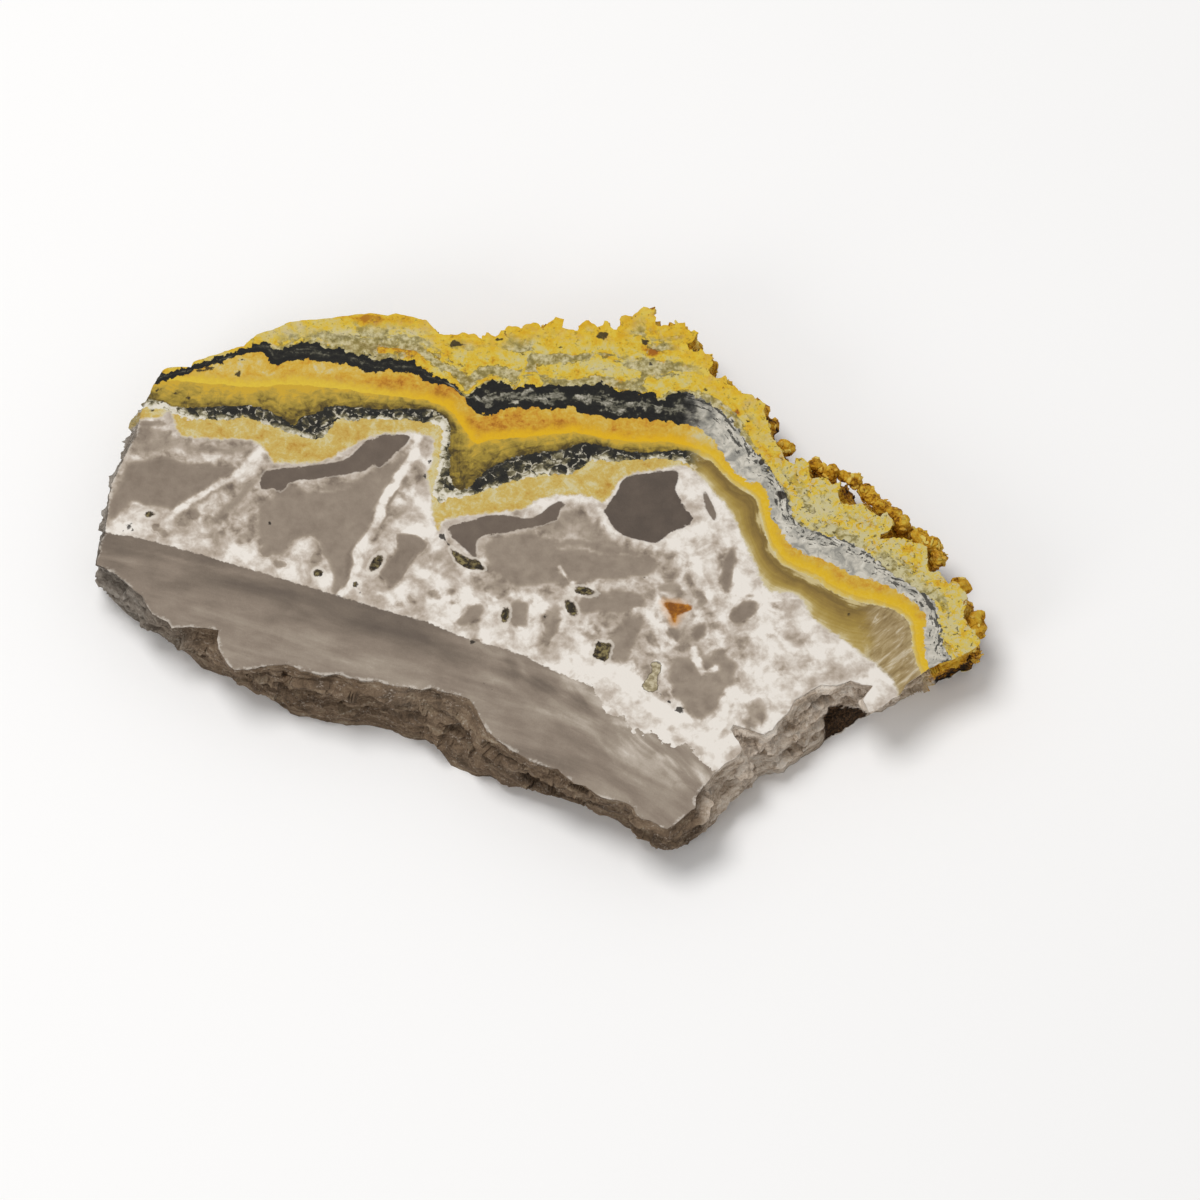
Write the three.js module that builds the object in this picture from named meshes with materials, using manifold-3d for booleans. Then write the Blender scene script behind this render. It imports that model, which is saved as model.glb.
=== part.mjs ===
// A slab of bumble bee jasper: one stone, sawn flat on two faces and broken all the way round.
// Millimetres, +Z up. It rests on its sawn underside, patterned face up, with the origin under its middle.

import * as THREE from "three";
import { mergeVertices } from "three/addons/utils/BufferGeometryUtils.js";
import Module from "manifold-3d";

const wasm = await Module();
wasm.setup();

const THICKNESS = 9.5; // between the two sawn faces
const LONGEST_RIM_EDGE = 2.4; // longer stretches of the rim are split, so that the side breaks into facets
const RIM_CHIP = 0.06; // how far the saw's edge has crumbled
const FOOT_CHIP = 0.2;
const FINEST_DETAIL = 0.04;
const FACET_RUN = 4; // stations along the side over which one broken facet runs
const FACET_SLANT = 1.7; // stations by which a facet moves on from one row to the next
const BROAD_SHARE = 0.7; // of the broken relief, the rest being finer chips
const ROW_WANDER = 0.25; // how far a row of the side rises and falls
const OUTWARD_REACH = 4; // stations either way that give the side's direction
const UNEVENNESS = 0.16; // of a lump, as a share of its radius
const HEIGHTS = [0, 0.14, 0.34, 0.56, 0.8, 1]; // rows of the side, as shares of the thickness

// How far each row of the side stands out from the straight line between foot and rim.
const SHEER = [0, 0.2, 0.3, 0.3, 0.1, 0];
const LEDGED = [0, 0.2, 0.9, 0.3, 0.7, 0];
const HOLLOWED = [0, -0.4, -0.9, -0.5, -0.2, 0];
const RIDGED = [0, 0.9, 0.6, 1.5, 0.7, 0];
const CRUSTED = [0, 0.5, 1, 0.9, -0.2, 0];
const SHELVED = [0, 1, 2, 2.1, -0.3, 0];

// The side in stretches, clockwise from the left corner seen from above. Each holds the rim of the upper
// sawn face, the foot on the lower one, the profile between them and how rough the break is.
const SIDE = [
  {
    rim: [
      [-55.9, 0.1], [-55.6, 1.7], [-55.5, 2.9], [-54.8, 4.9], [-54.7, 6.1], [-54.3, 10], [-54.1, 11.7],
      [-53.5, 13], [-52.6, 15.3], [-51.9, 16.9], [-51.1, 18.6], [-50.4, 21.9], [-49.5, 24.3], [-48.8, 26],
      [-47.8, 28.1],
    ],
    foot: [[-55.5, 3], [-54.6, 9], [-54.2, 12.5], [-52.2, 18], [-50.2, 22.5], [-47.8, 26.7]],
    profile: SHEER,
    rough: 0.35,
  },
  {
    rim: [
      [-47.1, 28.6], [-44.1, 28.6], [-43.9, 29.4], [-42, 30.1], [-40.1, 30.7], [-38.8, 31.3], [-37.5, 31.6],
      [-36, 33.3], [-35, 33.7], [-33.8, 34.1], [-31.8, 35.1], [-30.3, 35.4], [-26.4, 35.7], [-23.9, 36.1],
      [-21.6, 36.4], [-20.5, 36.2], [-19.4, 36.1], [-18.4, 36.4], [-16.5, 35.9], [-14.6, 35.4], [-13.9, 34.6],
      [-13, 33.4],
    ],
    foot: [[-46.4, 27.6], [-42, 30.2], [-37, 31.8], [-31, 35.2], [-24, 36], [-18, 35.8], [-13.6, 34.2]],
    profile: SHEER,
    rough: 0.5,
  },
  {
    rim: [
      [-11.6, 33.3], [-9.6, 33.4], [-8.6, 33.3], [-7.6, 32.6], [-7, 33.6], [-5.9, 33], [-5.1, 33.7], [-4.2, 34.4],
      [-3.3, 34.4], [-2.6, 34.1], [-2, 34.9], [-0.3, 34.9], [0.1, 34.1], [1.1, 35.2], [1.8, 35.9], [2.6, 35.4],
      [2.5, 34.4], [3.9, 34], [4.5, 34], [4.9, 34.9], [5.6, 35.4], [6.3, 35.1], [7, 34.4], [7.8, 34.7],
      [7.9, 35.3], [8.4, 35.1], [8.6, 34.3], [9.3, 33.9], [9.8, 34.9], [9.9, 35.9], [10.6, 36], [11.4, 35.9],
      [12, 36.6], [12.8, 37.2], [13.6, 37.1], [14.3, 37.4], [14.1, 36.6], [14.3, 35.1], [14.5, 34.4],
      [15.6, 34.7], [16.8, 34.6], [17.4, 34.9], [18.1, 34.9], [18.1, 34.1], [18.8, 33.6], [19.3, 34],
      [19.7, 33.6], [19.2, 32.6], [18.7, 32], [20.1, 31.1], [20.6, 30.6], [21.4, 30.3],
    ],
    foot: [[-11, 32.4], [-7, 32.8], [-2, 33.6], [3, 33.8], [8, 33.6], [13, 34.8], [17.5, 33.2], [20, 31.2]],
    profile: CRUSTED,
    rough: 0.6,
  },
  {
    rim: [
      [21.4, 29], [20.9, 28.3], [21.2, 27.6], [21.8, 27.1], [22.5, 27], [23.1, 27.4], [23.4, 26.1], [24.1, 25.9],
      [24.9, 25.1], [26.4, 24.7], [27, 24], [28.1, 23.4], [27.9, 22.1], [28.2, 21.3], [28.7, 19.3],
      [29.2, 18.1], [30.3, 16.2],
    ],
    foot: [[21.4, 28.2], [24.2, 25.2], [27.8, 22.4], [29, 18.6]],
    profile: CRUSTED,
    rough: 0.6,
  },
  {
    rim: [
      [30.8, 15], [31.6, 14.6], [31.8, 15.4], [32.9, 15.3], [33.6, 14.7], [33.5, 12.7], [34.3, 12.4],
      [35.3, 12.7], [35.9, 12.3], [36.4, 11.6], [37.6, 12.1], [37.4, 11.1], [37, 10.1], [37.6, 9], [38.6, 8.6],
      [40.3, 9], [40.8, 8], [41.5, 7.4], [42.4, 7.1], [43.1, 7.6], [43.8, 6.9], [43.9, 5.9], [43.4, 4.9],
      [42.5, 4.4], [42.5, 3.9], [44, 4.1], [45.4, 3.9], [46.1, 3.5], [47.3, 3.3],
    ],
    foot: [[30.6, 15.6], [33.6, 14], [36.6, 12.6], [39.4, 10.8], [42, 8.4], [44, 6], [46, 4.6]],
    profile: SHELVED,
    rough: 0.6,
  },
  {
    rim: [
      [48.3, 2.7], [48.3, 1.3], [48.3, 0.1], [48.5, -0.7], [49.2, -1.1], [49.7, -0.7], [50.3, -1.7],
      [50.8, -2.5], [51.4, -2.2], [52.1, -2.6], [52.8, -3.5], [53.3, -4.4], [52.9, -6.3], [52.6, -7.3],
      [53.1, -8], [53.6, -9], [54.2, -9], [54.1, -9.8], [54.5, -10.5],
    ],
    foot: [[48.2, 3], [48.6, 0], [50.8, -1.8], [52.6, -4], [52.8, -7]],
    profile: CRUSTED,
    rough: 0.5,
  },
  {
    rim: [
      [54.8, -11.1], [53.8, -12], [52.5, -12.9], [51.3, -13.4], [49.6, -14], [48.3, -14.7], [47.4, -15.3],
      [46.6, -16], [45.4, -17], [45.1, -17.6], [44.5, -18.5], [43.5, -19.2], [42.5, -20.1], [41.3, -20.7],
    ],
    foot: [[53.6, -9.6], [50.5, -11], [46.6, -13], [43.5, -15]],
    profile: HOLLOWED,
    rough: 0.3,
  },
  {
    rim: [[40.8, -20.9], [40.1, -19.1], [40.6, -18.4], [41.4, -17], [40, -16.9], [38.6, -16.3], [36.9, -17]],
    foot: [[41, -16.2], [39.6, -16.8], [37.6, -18.4]],
    profile: HOLLOWED,
    rough: 0.3,
  },
  {
    rim: [[34.9, -17], [31.6, -19.1], [30.6, -21.1], [29.8, -21.8], [28.8, -23.3], [27.5, -23.9]],
    foot: [[35.5, -19.8], [34, -21.3], [31.8, -22.7], [29.9, -24.6]],
    profile: SHEER,
    rough: 0.35,
  },
  {
    rim: [[23.9, -22.6], [23.6, -23.3], [23.9, -24.1], [24.5, -25], [25, -26.1]],
    foot: [[27.9, -24.5], [27, -25.1], [26, -26.2]],
    profile: RIDGED,
    rough: 0.5,
  },
  {
    rim: [
      [24.8, -26.7], [23.9, -27.6], [22.9, -28.2], [21.9, -29.1], [20.9, -30.6], [19.9, -31.7], [19.3, -32.9],
      [19.2, -34.4], [18.6, -34.7], [17.3, -36], [16.4, -36.9],
    ],
    foot: [[24.3, -27.3], [23, -28.5], [21.9, -30], [21.1, -31.5], [20, -32.7], [18.2, -33.8]],
    profile: RIDGED,
    rough: 0.4,
  },
  {
    rim: [
      [15.6, -37.4], [14.9, -37.1], [13.8, -36.3], [12.5, -35.9], [11.8, -35.1], [11.5, -34.3], [10.6, -33.6],
      [9.3, -33.3], [7.5, -32.9], [6.4, -32.1], [5.5, -31.3], [4.1, -30.9], [3, -29.9], [2.1, -28.9],
      [1, -28.7], [-0.3, -28.2], [-1.5, -27.6], [-2.4, -27], [-3.9, -26.1],
    ],
    foot: [
      [16.4, -34.6], [14.5, -34], [12.5, -33.3], [10, -31.7], [8.1, -30.1], [4.4, -28.6], [1.1, -27.5],
      [-2.4, -26.2],
    ],
    profile: LEDGED,
    rough: 0.35,
  },
  {
    rim: [[-5.2, -25], [-6.8, -23.4], [-7.5, -21.8], [-8, -20.4], [-8.5, -19.4], [-9, -18.9], [-10.2, -18.4]],
    foot: [[-6.3, -25], [-7.5, -25.3], [-8.8, -24.6], [-10.3, -23.8], [-11.6, -23.1], [-12.1, -21.6]],
    profile: LEDGED,
    rough: 0.4,
  },
  {
    rim: [
      [-12.1, -17.9], [-13.6, -17.4], [-14.9, -17.7], [-16.4, -17.3], [-18.6, -17], [-20.6, -16.4],
      [-22.5, -16.3], [-23.9, -16], [-25.5, -15.4], [-27.1, -15.6], [-28.4, -15.2], [-29.9, -15],
      [-30.8, -14.4], [-31.8, -14], [-33.3, -14.1], [-34.9, -14.3], [-35.8, -14.6], [-36.8, -14.8],
      [-38.3, -14.8],
    ],
    foot: [
      [-13.1, -20.7], [-14.5, -19.7], [-16.2, -19.7], [-19.3, -18.1], [-21.9, -17.5], [-24.4, -17.5],
      [-27.6, -16.8], [-30.8, -16.2], [-32.2, -15.2], [-33.7, -13.7], [-36.3, -12.2],
    ],
    profile: LEDGED,
    rough: 0.4,
  },
  {
    rim: [
      [-39, -14.2], [-39.7, -12.9], [-40.4, -11.6], [-40.5, -10.4], [-40.4, -9.2], [-42.1, -8.9], [-43.9, -8.7],
      [-45.1, -8.8],
    ],
    foot: [[-38, -10.7], [-39.4, -10.7], [-41.1, -10], [-42.6, -9.4], [-43.9, -8], [-44.8, -6.9]],
    profile: SHEER,
    rough: 0.3,
  },
  {
    rim: [
      [-46.2, -9], [-46.7, -8], [-47.7, -7.5], [-48.7, -6.9], [-50, -4.3], [-50.8, -3.7], [-52, -2.5],
      [-53.3, -1.4], [-55.2, -0.2],
    ],
    foot: [[-46, -5.9], [-48.7, -4], [-50.8, -2.2], [-53.2, 0.1], [-54.6, 1.4]],
    profile: SHEER,
    rough: 0.4,
  },
];

// Solution holes that open on the upper face: centre, half length, half width, turn in degrees and depth.
const PITS = [
  { at: [-9.4, 1.4], half: [2.5, 0.6], turn: -32, depth: 1.6 },
  { at: [7.6, -11.9], half: [1.2, 1.2], turn: -12, depth: 1.7 },
  { at: [14.3, -15.4], half: [2, 0.7], turn: 78, depth: 1 },
  { at: [-10.9, 32.3], half: [1.1, 0.7], turn: 5, depth: 2 },
  { at: [7.7, 33.3], half: [0.9, 0.7], turn: 0, depth: 1.8 },
  { at: [19.2, 31.5], half: [0.9, 0.5], turn: -20, depth: 1.4 },
  { at: [38.5, -6.7], half: [0.5, 0.4], turn: 30, depth: 0.7 },
  { at: [-31.9, -15.2], half: [0.9, 0.8], turn: 0, depth: 2.2 },
];

// Knobs of the crust that stand clear of the face's outline: centre and radius.
const OUTER_KNOBS = [
  { at: [16.4, 34.9, 7.4], radius: 1 },
  { at: [30.4, 18.2, 7.3], radius: 1.2 },
  { at: [34.6, 15.6, 7], radius: 1 },
  { at: [36.4, 14.9, 6.8], radius: 1 },
  { at: [38, 14.4, 6.6], radius: 0.9 },
  { at: [39.3, 13.6, 6.8], radius: 1 },
  { at: [40.6, 12.4, 6.4], radius: 1 },
  { at: [41.6, 11.2, 6.6], radius: 0.9 },
  { at: [42.6, 9.9, 6.8], radius: 1 },
  { at: [44.2, 8.6, 7], radius: 1.1 },
  { at: [45.2, 7.2, 7.2], radius: 1.2 },
  { at: [47.4, 5.2, 7], radius: 1.2 },
  { at: [48.9, 4.2, 7.2], radius: 1.3 },
  { at: [49.6, 2.6, 6.8], radius: 1.1 },
  { at: [52.2, -1.8, 7.4], radius: 1.2 },
  { at: [54.3, -6.6, 7], radius: 1.4 },
  { at: [54.6, -8.2, 7.2], radius: 1 },
];

// Smaller knobs cover the rest of the crusted side.
const SMALL_KNOBS = 48;
const SMALL_KNOB_RADIUS = [0.9, 1.6];
const SMALL_KNOB_HEIGHT = [2, 7.4];
const SMALL_KNOB_FLATNESS = 0.9;
const SMALL_KNOB_SINK = 0.2;
const SMALL_KNOB_JITTER = 0.4; // along the side, as a share of the spacing

// A steady value between -1 and 1 for each pair of whole numbers.
function scatter(i, j = 0) {
  let mixed = Math.imul(i + 1013, 374761393) ^ Math.imul(j + 739, 668265263);
  mixed = Math.imul(mixed ^ (mixed >>> 13), 1274126177);
  return ((mixed ^ (mixed >>> 16)) >>> 0) / 2 ** 31 - 1;
}

const within = ([low, high], share) => low + ((share + 1) / 2) * (high - low);

// One broken facet leads into the next along the row, with a finer chip on each station.
function breakage(station, row) {
  const shifted = station + row * FACET_SLANT;
  const facet = Math.floor(shifted / FACET_RUN);
  const way = shifted / FACET_RUN - facet;
  const broad = THREE.MathUtils.lerp(scatter(facet, row), scatter(facet + 1, row), way);
  return BROAD_SHARE * broad + (1 - BROAD_SHARE) * scatter(station, row + 50);
}

// A point moved a little, as a crumbled edge is.
function chipped(point, size, seed) {
  return new THREE.Vector2(point.x + size * scatter(seed, 1), point.y + size * scatter(seed, 2));
}

// The rim's points, with more on its long stretches.
function splitLongEdges(points) {
  return points.slice(0, -1).flatMap((from, i) => {
    const to = points[i + 1];
    const pieces = Math.ceil(from.distanceTo(to) / LONGEST_RIM_EDGE);
    return Array.from({ length: pieces }, (_, k) => from.clone().lerp(to, k / pieces));
  });
}

// Stations of the side: each pairs a point of the rim with the one of the foot as far along its stretch.
function sideStations() {
  const toVectors = (points) => points.map(([x, y]) => new THREE.Vector2(x, y));
  return SIDE.flatMap((stretch, i) => {
    const following = SIDE[(i + 1) % SIDE.length];
    const rim = toVectors([...stretch.rim, following.rim[0]]);
    const foot = new THREE.Path(toVectors([...stretch.foot, following.foot[0]]));
    const rimPath = new THREE.Path(rim);
    const length = rimPath.getLength();
    let walked = 0;
    return splitLongEdges(rim).map((point, k, all) => {
      walked += k ? point.distanceTo(all[k - 1]) : 0;
      const seed = i * 1000 + k;
      const footPoint = foot.getPointAt(Math.min(walked / length, 1));
      return {
        ...stretch,
        rim: chipped(point, RIM_CHIP, seed),
        foot: chipped(footPoint, FOOT_CHIP, seed + 500),
      };
    });
  });
}

// Directions away from the stone, even along a jagged rim.
function outwardDirections(stations) {
  const count = stations.length;
  return stations.map((_, i) => {
    const before = stations[(i - OUTWARD_REACH + count) % count].foot;
    const after = stations[(i + OUTWARD_REACH) % count].foot;
    const along = after.clone().sub(before).normalize();
    return new THREE.Vector2(along.y, -along.x);
  });
}

// The slab before its crust and pits: rows of stations from foot to rim, closed by the two sawn faces.
function brokenSlab() {
  const stations = sideStations().reverse();
  const outward = outwardDirections(stations);
  const count = stations.length;
  const vertices = [];
  const triangles = [];
  HEIGHTS.forEach((height, row) => {
    stations.forEach(({ rim, foot, profile, rough }, i) => {
      const free = row > 0 && row < HEIGHTS.length - 1;
      const push = profile[row] + (free ? rough * breakage(i, row) : 0);
      const point = foot.clone().lerp(rim, height).addScaledVector(outward[i], push);
      const lift = free ? ROW_WANDER * scatter(i, row + 90) : 0;
      vertices.push(point.x, point.y, height * THICKNESS + lift);
    });
  });
  for (let row = 0; row < HEIGHTS.length - 1; row += 1) {
    for (let i = 0; i < count; i += 1) {
      const low = row * count + i;
      const lowNext = row * count + ((i + 1) % count);
      triangles.push(low, lowNext, lowNext + count, low, lowNext + count, low + count);
    }
  }
  triangles.push(...sawnFace(stations.map(({ foot }) => foot), 0, true));
  triangles.push(...sawnFace(stations.map(({ rim }) => rim), (HEIGHTS.length - 1) * count, false));
  return toSolid(vertices, triangles);
}

// Triangles that fill an outline whose first vertex has the given index.
function sawnFace(outline, first, facesDown) {
  const faces = THREE.ShapeUtils.triangulateShape(outline, []);
  const areas = faces.map((corners) => THREE.ShapeUtils.area(corners.map((index) => outline[index])));
  const facesUp = areas.reduce((sum, area) => sum + area, 0) > 0;
  return faces.flatMap(([a, b, c]) => {
    const turned = facesUp === facesDown ? [a, c, b] : [a, b, c];
    return turned.map((index) => index + first);
  });
}

function toSolid(vertices, triangles) {
  const mesh = new wasm.Mesh({
    numProp: 3,
    vertProperties: new Float32Array(vertices),
    triVerts: new Uint32Array(triangles),
  });
  return new wasm.Manifold(mesh);
}

// An uneven lump with the given half sizes, turned about the vertical.
function lump([x, y, z], [halfX, halfY, halfZ], turn, seed, detail) {
  const ball = new THREE.IcosahedronGeometry(1, detail);
  ball.deleteAttribute("normal");
  ball.deleteAttribute("uv");
  const merged = mergeVertices(ball);
  const position = merged.getAttribute("position");
  const corner = new THREE.Vector3();
  for (let i = 0; i < position.count; i += 1) {
    corner.fromBufferAttribute(position, i).multiplyScalar(1 + UNEVENNESS * scatter(seed, i));
    position.setXYZ(i, corner.x, corner.y, corner.z);
  }
  merged.scale(halfX, halfY, halfZ);
  merged.rotateZ(THREE.MathUtils.degToRad(turn));
  merged.translate(x, y, z);
  return toSolid(position.array, merged.index.array);
}

function crustKnobs() {
  const outer = OUTER_KNOBS.map(({ at, radius }, i) => lump(at, [radius, radius, radius], i * 40, i, 1));
  const crusted = sideStations().filter(({ profile }) => profile === CRUSTED || profile === SHELVED);
  const small = Array.from({ length: SMALL_KNOBS }, (_, i) => {
    const share = (i + 0.5 + SMALL_KNOB_JITTER * scatter(i, 7)) / SMALL_KNOBS;
    const { rim, foot, profile } = crusted[Math.floor(share * crusted.length)];
    const height = within(SMALL_KNOB_HEIGHT, scatter(i, 8));
    const radius = within(SMALL_KNOB_RADIUS, scatter(i, 9));
    const row = HEIGHTS.findIndex((level) => level * THICKNESS >= height);
    const away = rim.clone().normalize();
    const proud = profile[row] - SMALL_KNOB_SINK;
    const point = foot.clone().lerp(rim, height / THICKNESS).addScaledVector(away, proud);
    const half = [radius, radius, radius * SMALL_KNOB_FLATNESS];
    return lump([point.x, point.y, height], half, i * 25, i + 100, 0);
  });
  return [...outer, ...small];
}

function pitVoids() {
  return PITS.map(({ at, half, turn, depth }, i) => {
    return lump([...at, THICKNESS], [...half, depth], turn, i + 300, 1);
  });
}

// The finished stone as a geometry, moved so that the origin is under the middle of its outline.
function slabGeometry() {
  const crusted = crustKnobs().reduce((whole, knob) => whole.add(knob), brokenSlab());
  const pitted = pitVoids().reduce((whole, pit) => whole.subtract(pit), crusted);
  const stone = pitted.simplify(FINEST_DETAIL);
  const { min, max } = stone.boundingBox();
  const centred = stone.translate([-(min[0] + max[0]) / 2, -(min[1] + max[1]) / 2, 0]);
  const { vertProperties, triVerts } = centred.getMesh();
  const geometry = new THREE.BufferGeometry();
  geometry.setAttribute("position", new THREE.BufferAttribute(vertProperties, 3));
  geometry.setIndex(new THREE.BufferAttribute(triVerts, 1));
  geometry.computeVertexNormals();
  return geometry;
}

const bandedStone = new THREE.MeshStandardMaterial({ color: 0xb3a68a, roughness: 0.45, flatShading: true });

const slab = new THREE.Mesh(slabGeometry(), bandedStone);
slab.name = "jasper_slab";

const group = new THREE.Group();
group.add(slab);

export default group;
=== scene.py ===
import math

import bmesh
import bpy
import numpy as np
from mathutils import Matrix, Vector, geometry, kdtree, noise


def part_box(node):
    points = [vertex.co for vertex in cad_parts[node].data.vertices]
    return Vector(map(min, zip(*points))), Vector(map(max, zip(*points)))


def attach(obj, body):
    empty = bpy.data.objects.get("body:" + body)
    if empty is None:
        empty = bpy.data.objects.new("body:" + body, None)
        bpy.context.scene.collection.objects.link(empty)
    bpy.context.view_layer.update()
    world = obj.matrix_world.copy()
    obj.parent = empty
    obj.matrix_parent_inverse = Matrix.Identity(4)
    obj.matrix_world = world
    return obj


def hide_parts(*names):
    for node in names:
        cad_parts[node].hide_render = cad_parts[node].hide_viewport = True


# A slab of bumble bee jasper, sawn on two faces and broken all the way round.
# Sizes are in millimetres and become metres where a mesh is made.

MM = 0.001
WELD = 0.002  # corners closer than this are one
LEVEL = 0.02  # corners this close to the height of a sawn face are on it
SIDE_EDGE = 0.5  # longest edge on the broken side
SPLIT_ROUNDS = 4  # how often its edges are halved at most
FACE_STEP = 0.43  # spacing of the corners on the patterned face
UNDERSIDE_STEP = 0.85
HEXAGON_ROW = 0.866  # distance of the rows in a net of triangles, for a spacing of one
FACE_MARGIN = 0.55  # share of a step kept free along the rim
RIM_CRUMBLE = 0.11  # how far the saw's edge has crumbled
CRUST_CRUMBLE = 0.17  # and how much further at the crusted edge
LEDGE_RELIEF = 0.7
BREAK_RELIEF = 0.3
CRUST_RELIEF = 0.5
LEDGE_WAVES = (0.11, 0.9)  # how fast the ledges change along the side and up it
LEDGE_STEPS = 7
CHIP_WAVES = (0.5, 1.5)
CHIPS = [(3.8, 1.3), (1.5, 0.9)]  # size of the chips and how far they stand out
CHIP_SPREAD = 37.7  # sets how the slants of the chips differ
FOOT_RISE = 2.6  # how soon the relief is full above the foot, and below the face
TOP_RISE = 5
UPWARD_SHARE = 0.4  # what is kept of a corner's move up or down
HOLLOW_DEPTH = 1.3
PIT_SHADE = 1.3  # depth at which the painted shade in a pit is quite dark
CRUST_FRONT = -11.5  # the crust reaches forward to here
CRUST_MIDDLE = 5.0  # height above which the crust is painted brighter, as painted light from above
NOISE_SEED = 4
GRAIN_SEED = 5
GRAIN_DENSITY = 0.9  # crust grains for each square millimetre
GRAIN_RADIUS = 0.36
GRAIN_LEAST = (0.4, 0.35, 0.3)  # least and greatest scale of a grain
GRAIN_MOST = (1.9, 1.5, 0.9)
LUMP_SIZE = 1.0  # how far the grains are pushed out of shape
LUMPS_PER_MM = 0.9

# The curves and marks of the pattern are placed on a drawing grid over the face, with x to the right and
# y towards the viewer. It has this many steps to the millimetre, and the face's middle is on GRID_ORIGIN.
GRID_ACROSS = 8
GRID_DEEP = 7
GRID_DROP = 3.87  # steps down the grid for a millimetre below the face
GRID_ORIGIN = (542, 568)
FACE_LEFT = -55.9  # the face's left corner and front tip, in millimetres from GRID_ORIGIN
FACE_FRONT = -37.4

# How far a layer moves from the face to the underside, as it runs through the stone.
LAYER_DIP = (0.9, 2.2)

# Boundaries of the layers, left to right.
BOUNDARIES = {
    "rock_top": [
        (60, 520), (104, 532), (141, 538), (182, 549), (223, 561), (255, 571), (284, 579), (315, 589),
        (345, 598), (370, 606), (400, 614), (437, 625), (458, 635), (478, 642), (502, 648), (527, 656),
        (549, 670), (564, 672), (584, 680), (598, 694), (606, 711), (625, 718), (639, 729), (666, 742),
        (700, 756), (760, 790),
    ],
    "yellow_inner": [
        (90, 436), (139, 417), (157, 418), (162, 409), (171, 412), (176, 437), (191, 436), (211, 439),
        (242, 438), (253, 441), (266, 451), (270, 463), (300, 463), (325, 461), (345, 449), (366, 437),
        (386, 432), (415, 431), (431, 435), (434, 443), (431, 463), (425, 478), (431, 494), (431, 514),
        (439, 534), (441, 520), (462, 516), (492, 512), (523, 510), (535, 500), (553, 496), (574, 494),
        (594, 498), (602, 504), (611, 496), (617, 482), (629, 473), (655, 470), (680, 463), (700, 474),
        (711, 488), (727, 506), (737, 523), (745, 543), (755, 564), (764, 586), (770, 592), (794, 592),
        (802, 600), (809, 615), (823, 627), (839, 637), (849, 645), (862, 655), (880, 668), (896, 684),
        (900, 720),
    ],
    "speckle_bottom": [
        (90, 420), (150, 402), (180, 418), (201, 418), (225, 420), (240, 414), (270, 425), (295, 433),
        (313, 440), (326, 432), (331, 422), (341, 415), (347, 422), (356, 418), (372, 418), (402, 419),
        (423, 421), (438, 423), (443, 431), (440, 450), (438, 474), (431, 486), (434, 500), (443, 504),
        (450, 496), (466, 497), (494, 486), (523, 478), (543, 473), (570, 475), (584, 465), (592, 459),
        (615, 461), (645, 458), (676, 458), (692, 466), (706, 480), (722, 496), (736, 512), (748, 536),
        (760, 566), (768, 582), (788, 586), (804, 592), (818, 606), (840, 624), (866, 640), (898, 668),
        (892, 720),
    ],
    "speckle_top": [
        (90, 400), (150, 396), (174, 407), (201, 406), (221, 405), (234, 404), (257, 405), (272, 412),
        (283, 418), (293, 426), (297, 420), (303, 414), (319, 411), (328, 403), (341, 405), (361, 407),
        (392, 408), (421, 407), (433, 410), (443, 415), (450, 424), (449, 440), (449, 458), (450, 480),
        (456, 489), (466, 489), (478, 477), (492, 465), (513, 457), (539, 451), (560, 450), (582, 441),
        (604, 445), (625, 451), (645, 452), (666, 450), (680, 448), (696, 452), (713, 462), (725, 476),
        (737, 486), (751, 494), (759, 502), (761, 519), (768, 543), (778, 562), (794, 570), (815, 578),
        (831, 592), (855, 602), (884, 606), (900, 613), (911, 625), (911, 645), (917, 666), (921, 674),
        (920, 720),
    ],
    "bright_line": [
        (90, 372), (160, 378), (220, 384), (260, 386), (290, 382), (310, 385), (336, 387), (361, 391),
        (392, 395), (412, 397), (433, 401), (447, 407), (460, 421), (468, 437), (476, 444), (486, 439),
        (523, 436), (558, 434), (576, 431), (600, 437), (625, 441), (666, 441), (682, 443), (698, 448),
        (716, 458), (727, 472), (740, 483), (755, 491), (763, 500), (765, 517), (772, 540), (782, 558),
        (797, 566), (818, 574), (835, 587), (858, 597), (884, 601), (903, 609), (915, 623), (915, 644),
        (921, 664), (925, 673), (924, 720),
    ],
    "dark_bottom": [
        (90, 396), (150, 384), (187, 371), (247, 351), (262, 349), (270, 365), (290, 357), (310, 358),
        (331, 361), (341, 361), (355, 365), (361, 370), (380, 369), (400, 371), (415, 371), (421, 378),
        (433, 383), (450, 384), (466, 400), (478, 414), (493, 416), (501, 408), (532, 406), (542, 409),
        (563, 407), (573, 405), (580, 413), (595, 413), (611, 418), (637, 417), (659, 421), (682, 421),
        (704, 429), (721, 447), (733, 468), (747, 480), (762, 484), (770, 494), (770, 511), (778, 527),
        (790, 545), (802, 553), (823, 558), (843, 570), (864, 578), (884, 584), (909, 596), (921, 606),
        (927, 621), (923, 639), (929, 666), (930, 720),
    ],
    "dark_top": [
        (90, 384), (150, 374), (187, 365), (247, 345), (268, 338), (270, 350), (290, 344), (303, 340),
        (316, 341), (321, 347), (338, 347), (347, 351), (359, 354), (369, 353), (371, 360), (389, 357),
        (410, 358), (416, 363), (426, 370), (433, 375), (450, 380), (458, 388), (466, 396), (476, 387),
        (489, 378), (501, 382), (514, 388), (529, 382), (542, 387), (558, 383), (573, 386), (598, 381),
        (608, 383), (623, 394), (633, 388), (641, 393), (652, 390), (661, 400), (670, 391), (688, 391),
        (699, 396), (727, 411), (737, 427), (751, 447), (766, 462), (778, 482), (788, 494), (790, 513),
        (806, 531), (823, 533), (860, 547), (876, 558), (892, 574), (915, 588), (933, 600), (939, 617),
        (941, 641), (951, 660), (954, 720),
    ],
}

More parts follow.
